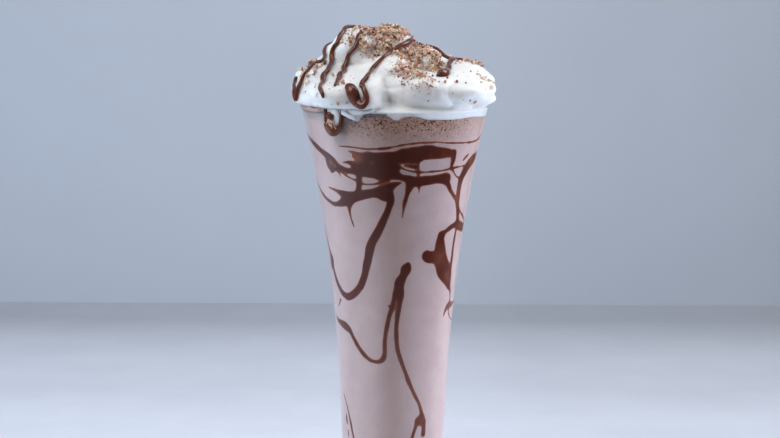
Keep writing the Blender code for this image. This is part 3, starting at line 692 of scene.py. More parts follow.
def foamy_milkshake():
    """Whipped chocolate milkshake: milk foam stained a pinkish brown, matt and slightly translucent. Foam
    has risen to its top, where pores of about a millimetre show dark against the glass."""
    drink = bpy.context.scene.milkshake_drink
    material, tree = new_material("whipped_chocolate_milk")
    _, body = mottled(tree, 9.0, 5.0, 0.55, [(0.3, "#BCA39F"), (0.7, "#C6AEAA")])
    _, foam_tint = mottled(tree, 1.6, 4.0, 0.7, [(0.3, "#8E6453"), (0.7, "#C09A86")])
    rise = add_node(tree, "ShaderNodeAttribute", {"attribute_name": "froth"})
    ends = {"Factor": (rise, "Fac"), "A": (body, "Color"), "B": (foam_tint, "Color")}
    mixed = add_node(tree, "ShaderNodeMix", {"data_type": "RGBA"}, links=ends)
    place = add_node(tree, "ShaderNodeTexCoord")
    form = {"Scale": 1 / drink.pore_size, "Randomness": 1.0}
    cells = add_node(tree, "ShaderNodeTexVoronoi", inputs=form, links={"Vector": (place, "Object")})
    share = add_node(tree, "ShaderNodeTexWhiteNoise", links={"Vector": (cells, "Position")})
    factors = {0: (share, "Value"), 1: (rise, "Fac")}
    size = add_node(tree, "ShaderNodeMath", {"operation": "MULTIPLY"}, links=factors)
    span = {"From Min": 0.14, "From Max": 0.9, "To Min": 0.08, "To Max": 0.6}
    radius = add_node(tree, "ShaderNodeMapRange", inputs=span, links={"Value": (size, "Value")})
    reach = {0: (cells, "Distance"), 1: (radius, "Result")}
    hole = add_node(tree, "ShaderNodeMath", {"operation": "LESS_THAN"}, links=reach)
    ends = {"Factor": (hole, "Value"), "A": (mixed, "Result")}
    pored = add_node(tree, "ShaderNodeMix", {"data_type": "RGBA"}, {"B": linear("#533629")}, ends)
    form = {
        "Roughness": 0.6,
        "Specular IOR Level": 0.1,
        "Subsurface Weight": 0.25,
        "Subsurface Scale": 1.0,
        "Subsurface Radius": (2.5 * MM, 1.8 * MM, 1.5 * MM),
    }
    foam = add_node(tree, "ShaderNodeBsdfPrincipled", inputs=form, links={"Base Color": (pored, "Result")})
    return finished(material, foam)


def whipped_dairy_cream():
    """Whipped dairy cream: fat foam, almost pure white, matt with a faint moist sheen; light spreads a few
    millimetres inside it, so its folds have soft edges, and fine air holes roughen its skin."""
    softness = bpy.context.scene.milkshake_cream.softness
    material, tree = new_material("whipped_dairy_cream")
    grain, tint = mottled(tree, 1.1, 4.0, 0.6, [(0.3, "#F0EFED"), (0.7, "#F5F4F2")])
    soaked = add_node(tree, "ShaderNodeAttribute", {"attribute_name": "stain"})
    ends = {"Factor": (soaked, "Fac"), "A": (tint, "Color")}
    foot = add_node(tree, "ShaderNodeMix", {"data_type": "RGBA"}, {"B": linear("#B0958F")}, ends)
    holes = {"Strength": 0.35, "Distance": 0.25 * MM}
    skin = add_node(tree, "ShaderNodeBump", inputs=holes, links={"Height": (grain, "Fac")})
    form = {
        "Roughness": 0.42,
        "Specular IOR Level": 0.35,
        "Subsurface Weight": 0.85,
        "Subsurface Scale": 1.0,
        "Subsurface Radius": (softness, softness * 0.9, softness * 0.8),
    }
    links = {"Base Color": (foot, "Result"), "Normal": (skin, "Normal")}
    return finished(material, add_node(tree, "ShaderNodeBsdfPrincipled", inputs=form, links=links))


def sauce_on_glass():
    """Chocolate sauce wetting the inside of the glass: dark brown where thick, reddish and lighter where it
    thins, and without gloss of its own, because it lies against the wall."""
    material, tree = new_material("chocolate_sauce_on_glass")
    stops = [(0.0, "#8C4A34"), (0.35, "#78402D"), (0.65, "#5E2B1D"), (1.0, "#4C1D12")]
    tone = toned(tree, "thickness", 3.5, stops)
    form = {"Roughness": 0.5, "Specular IOR Level": 0.05}
    sauce = add_node(tree, "ShaderNodeBsdfPrincipled", inputs=form, links={"Base Color": (tone, "Color")})
    return finished(material, sauce)


def glossy_sauce():
    """Chocolate sauce in the open air: sugar syrup with cocoa, wet and glossy, IOR about 1.45."""
    material, tree = new_material("glossy_chocolate_sauce")
    _, tone = mottled(tree, 4.0, 2.0, 0.5, [(0.3, "#52291D"), (0.7, "#703B2B")])
    form = {
        "Roughness": 0.12,
        "IOR": 1.45,
        "Subsurface Weight": 0.15,
        "Subsurface Scale": 1.0,
        "Subsurface Radius": (1.2 * MM, 0.5 * MM, 0.3 * MM),
    }
    sauce = add_node(tree, "ShaderNodeBsdfPrincipled", inputs=form, links={"Base Color": (tone, "Color")})
    return finished(material, sauce)


def crumb_material(name, stops, roughness):
    """A dry crumb: each grain has its own tone on the ramp, mottled at half a millimetre."""
    material, tree = new_material(name)
    colour = toned(tree, "tone", 0.5, stops)
    form = {"Roughness": roughness, "Specular IOR Level": 0.3}
    crumb = add_node(tree, "ShaderNodeBsdfPrincipled", inputs=form, links={"Base Color": (colour, "Color")})
    return finished(material, crumb)


def value_noise(points):
    """Smooth noise from -1 to 1: random values on the unit lattice, blended by a quintic fade."""
    cell = np.floor(points).astype(int)
    part = points - cell
    fade = part**3 * (part * (part * 6 - 15) + 10)
    total = np.zeros(len(points))
    for corner in range(8):
        offset = np.array([corner & 1, corner >> 1 & 1, corner >> 2 & 1])
        i, j, k = ((cell + offset) & 255).T
        value = NOISE_TABLE[(NOISE_TABLE[(NOISE_TABLE[i] + j) & 255] + k) & 255] / 127.5 - 1
        total += value * np.prod(np.where(offset, fade, 1 - fade), axis=1)
    return total


def direction(points):
    """Unit vectors along these."""
    points = np.asarray(points, float)
    return points / np.linalg.norm(points, axis=-1, keepdims=True)


def turn_degrees(points):
    """How far points or directions are turned round the axis from the front, in degrees."""
    return np.degrees(np.arctan2(points[:, 0], -points[:, 1]))


def round_axis(turn, reach, depth):
    """Points at a turn from the front in radians, a reach from the axis and a depth below the rim."""
    return np.stack([reach * np.sin(turn), -reach * np.cos(turn), GLASS_HEIGHT - depth], axis=-1)


def cream_field(points):
    """Below 0 inside the cream: the ellipsoids joined by a soft minimum, which leaves a crease between
    lobes."""
    total = np.zeros(len(points))
    for x, y, z, *radii in LOBES:
        reach = np.linalg.norm((points - (x, y, z)) / radii, axis=1)
        total += np.exp(-(reach - 1) * min(radii) / LOBE_BLEND)
    return -LOBE_BLEND * np.log(total + 1e-12)


def folds(points, sizes):
    """Rounded lumps with creases between them: the size of noise, which is zero along its creases."""
    return sum(depth * (np.abs(value_noise(points / size)) - 0.3) for size, depth in sizes)


def cream_reach(directions):
    """Distance along unit directions from the centre of the mouth to the cream's skin: the last crossing of
    the field, plus the folds, drawn in or out to the rim where the cream comes down to rest on it, less the
    recess."""
    steps = np.arange(RAY_STEP, RAY_REACH, RAY_STEP)
    inside = np.array([cream_field(directions * step) for step in steps]) < 0
    low = steps[len(steps) - 1 - np.argmax(inside[::-1], axis=0)]
    high = low + RAY_STEP
    for _ in range(8):
        middle = (low + high) / 2
        within = cream_field(directions * middle[:, None]) < 0
        low, high = np.where(within, middle, low), np.where(within, high, middle)
    skin = directions * low[:, None]
    reach = low + folds(skin, FOLD_SIZES) + folds(skin, FINE_FOLD_SIZES)
    height, half_height, depth = RECESS
    share = np.interp(turn_degrees(directions), RECESS_TURNS, (0, 1, 1, 0))
    bell = np.exp(-(((skin[:, 2] - height) / half_height) ** 2))
    recess = share * depth * np.clip(skin[:, 2] / RECESS_FADE, 0, 1) * bell
    seat_height = SEAT_HEIGHT * (1 - 0.5 * share)
    return reach + (SEAT_RADIUS - reach) * np.clip(1 - skin[:, 2] / seat_height, 0, 1) ** 2 - recess


def on_cream(directions, lift=0.0):
    """Points of the cream's skin along unit directions, raised by lift, in the frame of the glass."""
    return directions * (cream_reach(directions) + lift)[:, None] + (0, 0, GLASS_HEIGHT + CREAM_SEAT)


def seen_on_cream(places):
    """Directions of the points of the cream that an eye in front sees through these places (x, z)."""
    eye = np.array([0.0, -EYE_DISTANCE, EYE_ABOVE_RIM])
    shares = 1 + np.arange(-60, 60, SIGHT_STEP) / EYE_DISTANCE
    seen = []
    for x, z, *_ in places:
        line = eye + shares[:, None] * (np.array([x, 0.0, z]) - eye)
        above = np.linalg.norm(line, axis=1) - cream_reach(direction(line))
        seen.append(direction(line[np.argmax(above <= max(above.min(), 0))]))
    return np.array(seen)


def smooth_path(guides, spacing):
    """Points a set distance apart along a Catmull-Rom curve through the guide points."""
    guides = np.asarray(guides, float)
    padded = np.vstack([2 * guides[0] - guides[1], guides, 2 * guides[-1] - guides[-2]])
    share = np.linspace(0, 1, 24, endpoint=False)[:, None]
    before, start, end, after = padded[:-3, None], padded[1:-2, None], padded[2:-1, None], padded[3:, None]
    curve = 0.5 * (
        2 * start
        + (end - before) * share
        + (2 * before - 5 * start + 4 * end - after) * share**2
        + (3 * start - before - 3 * end + after) * share**3
    )
    curve = np.vstack([curve.reshape(-1, guides.shape[1]), guides[-1:]])
    along = np.concatenate([[0], np.cumsum(np.linalg.norm(np.diff(curve, axis=0), axis=1))])
    at = np.linspace(0, along[-1], max(4, int(along[-1] / spacing)))
    return np.column_stack([np.interp(at, along, curve[:, k]) for k in range(curve.shape[1])])


def smoothed(values, width, rounds):
    """Values with each point moved to the mean of its neighbours, its ends kept, a few rounds over."""
    values = np.array(values, float)
    for _ in range(rounds):
        values[1:-1] = (1 - width) * values[1:-1] + width * 0.5 * (values[:-2] + values[2:])
    return values


def tube(path, half_widths, up, flatness=0.75, sides=14):
    """A closed tube: an ellipse across the path at each of its points, its short axis along up, poles at
    its ends."""
    tangent = direction(np.gradient(path, axis=0))
    side = direction(np.cross(tangent, up))
    lift = np.cross(side, tangent)
    angle = np.linspace(0, 2 * math.pi, sides, endpoint=False)[None, :, None]
    ring = np.cos(angle) * side[:, None] + flatness * np.sin(angle) * lift[:, None]
    return closed_grid(path[:, None] + ring * half_widths[:, None, None], path[0], path[-1])


def joined(shapes):
    """One set of points, quads and triangles from several, each of them closed."""
    points, quads, triangles, start = [], [], [], 0
    for shape_points, shape_quads, shape_triangles in shapes:
        points.append(shape_points)
        quads.append(shape_quads + start)
        triangles.append(shape_triangles + start)
        start += len(shape_points)
    return np.vstack(points), np.vstack(quads), np.vstack(triangles)


def rounded_ends(count, end):
    """Widths from 0 to 1 that round off the first and last part of a path: a quarter circle over end of its
    length."""
    share = np.linspace(0, 1, count)
    near = np.minimum(np.minimum(share, 1 - share) / end, 1)
    return np.sqrt(np.maximum(1 - (1 - near) ** 2, 0.0))


def camera_matrix():
    """Where the camera stands and how it is turned, in millimetres."""
    scale = EYE_DISTANCE / FOCAL_PIXELS
    aside = (PICTURE_WIDTH / 2 - RIM_CENTRE_PIXEL) * scale
    place = Matrix.Translation(Vector((aside, -EYE_DISTANCE, GLASS_HEIGHT + EYE_ABOVE_RIM)))
    pitch = Matrix.Rotation(math.radians(90 - PITCH_DEG), 4, "X")
    return place @ (pitch @ Matrix.Rotation(math.radians(ROLL_DEG), 4, "Z"))


def meet_wall(start, ray, radius_at):
    """Where rays from outside first meet a surface of revolution, by halving the span up to their nearest
    point to the axis. radius_at gives its radius at a depth below the rim."""
    low = np.zeros(len(ray))
    high = -np.einsum("ij,ij->i", start[:, :2], ray[:, :2]) / np.einsum("ij,ij->i", ray[:, :2], ray[:, :2])
    for _ in range(40):
        middle = (low + high) / 2
        place = start + ray * middle[:, None]
        outside = np.hypot(place[:, 0], place[:, 1]) > radius_at(GLASS_HEIGHT - place[:, 2])
        low, high = np.where(outside, middle, low), np.where(outside, high, middle)
    return start + ray * high[:, None]


def bent(ray, normal, ior):
    """The ray refracted into a medium of that index by Snell's law."""
    cosine = -np.einsum("ij,ij->i", ray, normal)
    inside = np.sqrt(np.maximum(1 - (1 - cosine**2) / ior**2, 0))
    return ray / ior + (cosine / ior - inside)[:, None] * normal


def wall_places(pixels):
    """(turn from the front in radians, depth below the rim in millimetres) on the inside of the glass of
    what the camera sees at these pixels, with the bend that the wall gives the line of sight."""
    pixels = np.asarray(pixels, float)
    camera = np.array(camera_matrix())
    across, down = (pixels - (PICTURE_WIDTH / 2, PICTURE_HEIGHT / 2)).T / FOCAL_PIXELS
    ray = direction(np.column_stack([across, -down, -np.ones(len(pixels))]) @ camera[:3, :3].T)
    outer = meet_wall(np.broadcast_to(camera[:3, 3], ray.shape), ray, outer_radius)
    depth = GLASS_HEIGHT - outer[:, 2]
    slope = outer_radius(depth + 0.5) - outer_radius(depth - 0.5)
    radial = direction(outer * (1, 1, 0))
    normal = direction(radial + np.column_stack([np.zeros((len(outer), 2)), slope]))
    inner = meet_wall(outer, bent(ray, normal, GLASS_IOR), inner_radius)
    return np.column_stack([np.arctan2(inner[:, 0], -inner[:, 1]), GLASS_HEIGHT - inner[:, 2]])


def stroke_field(paths, turns, depths):
    """Signed distance in millimetres on the unrolled wall to strokes that run into each other: below 0
    inside. Each stroke is the nearest of its discs, and strokes are joined by a soft minimum, which webs
    their corners."""
    total = np.zeros((len(depths), len(turns)))
    for path in paths:
        near = inner_radius(path[:, 1].mean())
        turn, depth, half_width = (smooth_path(path * (near, 1, 1), 0.35) / (near, 1, 1)).T
        reach = half_width.max() + 4.0
        rows = np.flatnonzero((depths > depth.min() - reach) & (depths < depth.max() + reach))
        columns = np.flatnonzero((turns > turn.min() - reach / near) & (turns < turn.max() + reach / near))
        if not len(rows) or not len(columns):
            continue
        radius = inner_radius(depths[rows])[:, None, None]
        across = (turns[columns][None, :, None] - turn) * radius
        along = depths[rows][:, None, None] - depth
        distance = (np.hypot(across, along) - half_width).min(axis=2)
        total[np.ix_(rows, columns)] += np.exp(-distance / STREAK_BLEND)
    return -STREAK_BLEND * np.log(total + 1e-6)


def shell_grid(paths):
    """The wall unrolled on a grid: its turns, its depths and the stroke field, with uneven edges."""
    turns = np.arange(-STREAK_HALF_SPAN, STREAK_HALF_SPAN, STREAK_GRID_MM / inner_radius(40.0))
    depths = np.arange(6.0, INNER_DEPTH - INNER_CORNER_RADIUS - 1.0, STREAK_GRID_MM)
    field = stroke_field(paths, turns, depths)
    radius = inner_radius(depths)[:, None]
    arc_place, depth_place = np.broadcast_arrays(turns[None, :] * radius, depths[:, None])
    spots = np.stack([arc_place / 2.6, depth_place / 3.4, np.ones_like(field)], -1)
    return turns, depths, field + STREAK_WOBBLE * value_noise(spots.reshape(-1, 3)).reshape(field.shape)


def streak_cells(field):
    """The grid's cells inside the streaks, and which grid points lie on their edge. Two cells that meet
    only at a corner get a third beside them, so that the body's wall never crosses itself."""
    keep = (field[:-1, :-1] + field[:-1, 1:] + field[1:, :-1] + field[1:, 1:]) < 0
    falling = keep[:-1, :-1] & keep[1:, 1:] & ~keep[:-1, 1:] & ~keep[1:, :-1]
    rising = ~keep[:-1, :-1] & ~keep[1:, 1:] & keep[:-1, 1:] & keep[1:, :-1]
    keep[:-1, 1:] |= falling
    keep[:-1, :-1] |= rising
    padded = np.pad(keep, 1).astype(int)
    touching = padded[:-1, :-1] + padded[:-1, 1:] + padded[1:, :-1] + padded[1:, 1:]
    return keep, (touching > 0) & (touching < 4)


def streak_shell(paths, films, into_wall, thickness):
    """A thin closed body on the inside of the glass where the stroke field is below 0. Its outline is moved
    onto the field's zero by one Newton step, and its inner side bulges into the drink as the field deepens.
    Its tone does too, but less where it is only a film: there it falls by a bell curve round each film's
    place."""
    turns, depths, field = shell_grid(paths)
    keep, edge = streak_cells(field)
    radius = inner_radius(depths)[:, None]
    down, across = np.gradient(field, STREAK_GRID_MM)
    across = across * STREAK_GRID_MM / ((turns[1] - turns[0]) * radius)
    steep = np.maximum(across**2 + down**2, 0.25)
    step = np.where(edge, np.clip(-field, -0.2, 0.2) / steep, 0)
    turn = turns[None, :] + step * across / radius
    depth = depths[:, None] + step * down
    deep = np.where(edge, 0.0, np.maximum(-field, 0.0))
    bulge = thickness * np.sqrt(np.minimum(deep / STREAK_FULL_DEPTH, 1.0))
    skins = [inner_radius(depth) + into_wall, inner_radius(depth) - STREAK_EDGE - bulge]
    points = np.vstack([round_axis(turn, reach, depth).reshape(-1, 3) for reach in skins])
    count = field.size
    index = np.arange(count).reshape(field.shape)
    corners = (index[:-1, :-1], index[:-1, 1:], index[1:, 1:], index[1:, :-1])
    quads = np.stack([part[keep] for part in corners], -1)
    sides = np.vstack([quads[:, [i, (i + 1) % 4]] for i in range(4)])
    key, twin = sides[:, 0] * count + sides[:, 1], sides[:, 1] * count + sides[:, 0]
    rim = sides[~np.isin(key, twin)]
    walls = np.stack([rim[:, 1], rim[:, 0], rim[:, 0] + count, rim[:, 1] + count], -1)
    used, faces = np.unique(np.vstack([quads, quads[:, ::-1] + count, walls]), return_inverse=True)
    tone = np.minimum(deep / TONE_FULL_DEPTH, 1.0)
    for film_turn, film_depth, film_radius, loss in films:
        away = np.hypot((turn - film_turn) * radius, depth - film_depth) / film_radius
        tone = tone * (1 - loss * np.exp(-(away**2)))
    return points[used], faces.reshape(-1, 4), np.tile(tone.ravel(), 2)[used]


def front_streak_paths():
    """Each traced stroke as (turn, depth, half width) on the wall, wider where seen edge on."""
    paths = []
    for stroke in FRONT_STREAKS.values():
        pixels = np.array(stroke, float)
        places = wall_places(pixels[:, :2])
        pixel_mm = EYE_DISTANCE / FOCAL_PIXELS
        half_width = pixels[:, 2] / 2 * pixel_mm / np.sqrt(np.clip(np.cos(places[:, 0]), 0.35, 1))
        paths.append(np.column_stack([places, half_width]))
    return paths


def front_films():
    """The thin films of the traced streaks as (turn, depth, radius, loss) on the inside wall."""
    films = np.array(THIN_FILMS)
    radius = films[:, 2] * EYE_DISTANCE / FOCAL_PIXELS
    return np.column_stack([wall_places(films[:, :2]), radius, films[:, 3]])


def back_streak_paths():
    """The far side's strokes as (turn, depth, half width)."""
    strokes = (np.array(stroke, float) for stroke in BACK_STREAKS.values())
    return [np.column_stack([np.radians(s[:, 0]), s[:, 1], s[:, 2] / 2]) for s in strokes]


def cream_edge(turn):
    """Depth of the cream's lower edge behind the glass at these turns in radians: the guides' curve, a
    little wavy."""
    guides = np.array([*CREAM_EDGE, (CREAM_EDGE[0][0] + 360, CREAM_EDGE[0][1])], float)
    path = smooth_path(guides, 1.0)
    edge = np.interp(np.degrees(turn), path[:, 0], path[:, 1])
    around = np.column_stack([np.sin(turn), -np.cos(turn)])
    return edge + 0.25 * value_noise(np.column_stack([around * 9, np.zeros(len(turn))]))


def cream_skirt(edge, seat_reach):
    """(radius, height) rows of the cream from inside the glass to where the mound begins: in from its lower
    edge, up the wall, round the lip as far as it rests on it, and out to seat_reach where it hangs past
    it."""
    lip = WALL_AT_RIM / 2
    lip_centre = RIM_RADIUS - lip - LIP_INSET
    rows = [(0.55 * inner_radius(edge), GLASS_HEIGHT - edge - 0.6)]
    rows.append((inner_radius(edge) - 1.2, GLASS_HEIGHT - edge - 0.5))
    rows.append((inner_radius(edge) - 0.2, GLASS_HEIGHT - edge - 0.25))
    for share in np.linspace(0, 1, 8):
        depth = edge + (lip - edge) * share
        rows.append((inner_radius(depth) + CREAM_INTO_WALL, GLASS_HEIGHT - depth))
    hug = lip - CREAM_INTO_WALL
    free = np.arccos(np.clip((seat_reach - lip_centre - 0.2) / lip, -0.9, math.cos(math.radians(35))))
    for share in np.linspace(0, 1, 7)[1:]:
        swing = math.pi + (free - math.pi) * share
        rows.append((lip_centre + hug * np.cos(swing), GLASS_HEIGHT - lip + hug * np.sin(swing)))
    radius, height = rows[-1]
    hang = np.clip(seat_reach - RIM_RADIUS - 0.5, 0, 1.6) * 0.75
    rows.append((np.maximum(radius, seat_reach - 0.9), np.minimum(height, GLASS_HEIGHT - 0.75 * hang)))
    rows.append((np.maximum(radius + 0.05, seat_reach - 0.25), GLASS_HEIGHT - 0.55 * hang))
    return rows


def cream_body():
    """The cream, from its lowest point inside the glass up to its top. It lines the inside of the glass
    down to its wavy lower edge, follows the lip, hangs over it where it reaches past it, and rises as the
    lobed mound."""
    turn = np.linspace(-math.pi, math.pi, CREAM_COLUMNS, endpoint=False)
    around = np.column_stack([np.sin(turn), -np.cos(turn)])
    skirt = cream_skirt(cream_edge(turn), cream_reach(np.column_stack([around, np.zeros(CREAM_COLUMNS)])))
    under = np.stack([np.column_stack([radius[:, None] * around, height]) for radius, height in skirt])
    rise = np.linspace(0, math.pi / 2, CREAM_ROWS + 1)[:-1, None]
    level = np.broadcast_to(np.sin(rise), (CREAM_ROWS, CREAM_COLUMNS))
    rays = np.stack([np.cos(rise) * around[:, 0], np.cos(rise) * around[:, 1], level], axis=-1)
    mound = on_cream(rays.reshape(-1, 3)).reshape(rays.shape)
    top = on_cream(np.array([[0.0, 0.0, 1.0]]))[0]
    return closed_grid(np.vstack([under, mound]), (0, 0, GLASS_HEIGHT - 3.0), top)


def froth(points):
    """How much of the drink is coarse brown froth, from 0 to 1: full at its top in front, less round the
    sides, and fading out over the first 20 mm down."""
    fall = np.interp(GLASS_HEIGHT - points[:, 2], FROTH_DEPTHS, (1, 0.75, 0.3, 0))
    return fall * np.interp(turn_degrees(points), FROTH_TURNS, (0.05, 0.7, 1, 1, 0.45, 0.2))


def stain(points):
    """How far the drink's foam has stained the cream, from 0 to 1: full near the rim over a span of turns,
    with a ragged upper edge."""
    height = points[:, 2] - GLASS_HEIGHT + 0.7 * value_noise(points / 1.7)
    across = np.interp(turn_degrees(points), STAIN_TURNS, (0, 1, 1, 0))
    return across * np.interp(height, STAIN_HEIGHTS, (1, 0))


def drizzle_paths():
    """The middle line, half widths and outward directions of each pass of the drizzle, smoothed along the
    cream."""
    scale = bpy.context.scene.milkshake_sauce.drizzle_scale
    for number, (places, far_end) in enumerate(DRIZZLE_PASSES.values()):
        guides = np.vstack([*[direction([ray]) for ray in far_end], seen_on_cream(places)])
        guides = guides * cream_reach(guides)[:, None]
        half_widths = [FAR_HALF_WIDTH] * len(far_end) + [half_width for _, _, half_width in places]
        *spots, half_widths = smooth_path(np.column_stack([guides, half_widths]), 0.4).T
        rays = direction(np.transpose(spots))
        reach = smoothed(cream_reach(rays), 0.8, 12)
        path = rays * (reach + DRIZZLE_LIFT)[:, None] + (0, 0, GLASS_HEIGHT + CREAM_SEAT)
        beat = value_noise(path / 4.5 + number * 7.3)
        widths = scale * half_widths * (1 + 0.12 * beat) * rounded_ends(len(path), 1.2 / (0.4 * len(path)))
        yield path, np.maximum(widths, 0.05), rays


def drip_shape(name):
    """A tube on the outside of the glass along one of the drip's paths, with its ends rounded."""
    lift, flatness, guides = DRIP_PATHS[name]
    turn, depth, half_widths = smooth_path(guides, 0.4).T
    turn = np.radians(turn)
    reach = outer_radius(np.maximum(depth, 0)) + lift + 0.6 * flatness * half_widths
    outwards = np.column_stack([np.sin(turn), -np.cos(turn), np.zeros(len(turn))])
    widths = half_widths * rounded_ends(len(turn), 0.05 if name == "loop" else 0.25)
    return tube(round_axis(turn, reach, depth), np.maximum(widths, 0.05), outwards, flatness, 20)


def grain_shape(random):
    """A broken grain: the 26 points of a cube's faces pushed to a ball, stretched, and pressed flat by four
    planes."""
    ball = direction(CUBE_POINTS) * (1 + random.uniform(-0.12, 0.16, (len(CUBE_POINTS), 1)))
    for plane in direction(random.normal(size=(4, 3))):
        ball -= np.maximum(ball @ plane - random.uniform(0.35, 0.75), 0)[:, None] * plane
    return ball * random.uniform(0.6, 1.0, 3) * 0.5


def grain_faces():
    """The 24 quads of the cube's faces on its 26 points, turned outwards."""
    faces = []
    for axis, side, a, b in itertools.product(range(3), (-1, 1), (-1, 0), (-1, 0)):
        square = [(a, b), (a + 1, b), (a + 1, b + 1), (a, b + 1)]
        face = [CUBE_POINTS.index(tuple(np.insert(corner, axis, side))) for corner in square]
        turned_out = (side > 0) == (axis != 1)
        faces.append(face if turned_out else face[::-1])
    return np.array(faces)


def turns_of(random, count):
    """Random rotations, from random unit quaternions."""
    w, x, y, z = direction(random.normal(size=(count, 4))).T
    return np.stack(
        [
            np.stack([1 - 2 * (y * y + z * z), 2 * (x * y - z * w), 2 * (x * z + y * w)], -1),
            np.stack([2 * (x * y + z * w), 1 - 2 * (x * x + z * z), 2 * (y * z - x * w)], -1),
            np.stack([2 * (x * z - y * w), 2 * (y * z + x * w), 1 - 2 * (x * x + y * y)], -1),
        ],
        axis=1,
    )


def crumb_places(random):
    """Directions and crowding of every crumb: a normal spread round each fall's place on the cream, less
    most of those that the drizzle, poured last, would hide."""
    rays, crowding = [], []
    centres = on_cream(seen_on_cream([(x, z) for x, z, _, _ in CRUMB_FALLS]))
    falls = [(centre, spread, count) for centre, (_, _, spread, count) in zip(centres, CRUMB_FALLS)]
    for x, y, z, spread, count in FAR_CRUMB_FALLS:
        falls.append((on_cream(direction([(x, y, z)]))[0], spread, count))
    for centre, spread, count in falls:
        places = centre + random.normal(scale=spread * 0.6, size=(count, 3))
        rays.append(direction(places - (0, 0, GLASS_HEIGHT + CREAM_SEAT)))
        crowding.append(np.full(count, min(count / spread**2 / 6, 1.0)))
    rays, crowding = np.vstack(rays), np.concatenate(crowding)
    spots = on_cream(rays)
    bare = np.zeros(len(rays), bool)
    for path, half_widths, _ in drizzle_paths():
        near = np.linalg.norm(spots[:, None] - path[::2], axis=2) < half_widths[::2] + 0.5
        bare |= near.any(axis=1)
    kept = (rays[:, 2] > 0.05) & (~bare | (random.uniform(size=len(rays)) < CRUMBS_ON_DRIZZLE))
    return rays[kept], crowding[kept]


def drip_crumb_places(random, sizes):
    """Places of the crumbs on the tongue of cream outside the glass: a normal spread round their middle."""
    turn, depth, spread, _ = DRIP_CRUMBS
    turns = math.radians(turn) + random.normal(scale=spread / RIM_RADIUS, size=len(sizes))
    depths = depth + random.normal(scale=spread, size=len(sizes))
    return round_axis(turns, outer_radius(depths) + TONGUE_THICKNESS + 0.25 * sizes, depths)


def scatter(random, centres, sizes):
    """Grains of these sizes at these places, each one of a few broken shapes, turned at random."""
    variants = np.array([grain_shape(random) for _ in range(GRAIN_SHAPES)])
    pick = random.integers(len(variants), size=len(centres))
    local = np.einsum("nij,nkj->nki", turns_of(random, len(centres)), variants[pick]) * sizes[:, None, None]
    corners = local.shape[1]
    faces = (grain_faces()[None] + (np.arange(len(centres)) * corners)[:, None, None]).reshape(-1, 4)
    tone = np.repeat(random.uniform(0, 1, len(centres)), corners)
    return (centres[:, None] + local).reshape(-1, 3), faces, tone


class MilkshakeOperator:
    """What the operators share"""

    bl_options = {"REGISTER", "UNDO"}


class MILKSHAKE_OT_glass(MilkshakeOperator, bpy.types.Operator):
    """Adds the footed glass"""

    bl_idname = "milkshake.glass"
    bl_label = "Add glass"

    def execute(self, context):
        points, *faces = turned(glass_profile(), context.scene.milkshake_glass.columns)
        piece = make_piece("footed_glass", points, faces, clear_glass(), replaced=["glass"])
        return {"FINISHED"}


class MILKSHAKE_OT_drink(MilkshakeOperator, bpy.types.Operator):
    """Fills the glass with milkshake"""

    bl_idname = "milkshake.drink"
    bl_label = "Add milkshake"

    def execute(self, context):
        level = context.scene.milkshake_drink.level / MM
        wall = inner_wall(DRINK_INTO_WALL, level, 90)
        radius, dish = wall[-1, 0], GLASS_HEIGHT - DRINK_DISH
        top = [(radius - 1.5, GLASS_HEIGHT - level - 0.3), (radius - 4, dish), (0.0, dish)]
        points, *faces = turned(np.vstack([wall, top]), 160)
        foam = {"froth": froth(points)}
        piece = make_piece("milkshake_drink", points, faces, foamy_milkshake(), True, foam, ["milkshake"])
        return {"FINISHED"}


class MILKSHAKE_OT_cream(MilkshakeOperator, bpy.types.Operator):
    """Adds the whipped cream on the drink and over the rim"""

    bl_idname = "milkshake.cream"
    bl_label = "Add whipped cream"

    def execute(self, context):
        points, *faces = joined([cream_body(), *map(drip_shape, CREAM_DRIPS)])
        foot = {"stain": stain(points)}
        piece = make_piece("cream_mound", points, faces, whipped_dairy_cream(), True, foot, ["whipped_cream"])
        return {"FINISHED"}


class MILKSHAKE_OT_streaks(MilkshakeOperator, bpy.types.Operator):
    """Adds the streaks of sauce on the inside of the glass"""

    bl_idname = "milkshake.streaks"
    bl_label = "Add sauce streaks"

    def execute(self, context):
        thickness = context.scene.milkshake_sauce.streak_thickness / MM
        sauce = sauce_on_glass()
        front = ("front", front_streak_paths(), front_films(), 0)
        for name, paths, films, turn in (front, ("back", back_streak_paths(), (), math.pi)):
            points, faces, tone = streak_shell(paths, films, SAUCE_INTO_WALL, thickness)
            points = points @ np.array(Matrix.Rotation(turn, 3, "Z")).T
            piece = make_piece(f"sauce_streaks_{name}", points, [faces], sauce, True, {"thickness": tone})
        return {"FINISHED"}


class MILKSHAKE_OT_drizzle(MilkshakeOperator, bpy.types.Operator):
    """Pours the drizzle over the cream and the rim"""

    bl_idname = "milkshake.drizzle"
    bl_label = "Add drizzle"

    def execute(self, context):
        lines = [tube(*line) for line in drizzle_paths()]
        points, *faces = joined([*lines, *map(drip_shape, SAUCE_DRIPS)])
        piece = make_piece("chocolate_drizzle", points, faces, glossy_sauce())
        melt = piece.modifiers.new("run together", "REMESH")
        melt.mode = "VOXEL"
        melt.voxel_size = 0.26 * MM
        melt.use_smooth_shade = True
        soften = piece.modifiers.new("surface tension", "SMOOTH")
        soften.iterations = 6
        soften.factor = 0.6
        return {"FINISHED"}


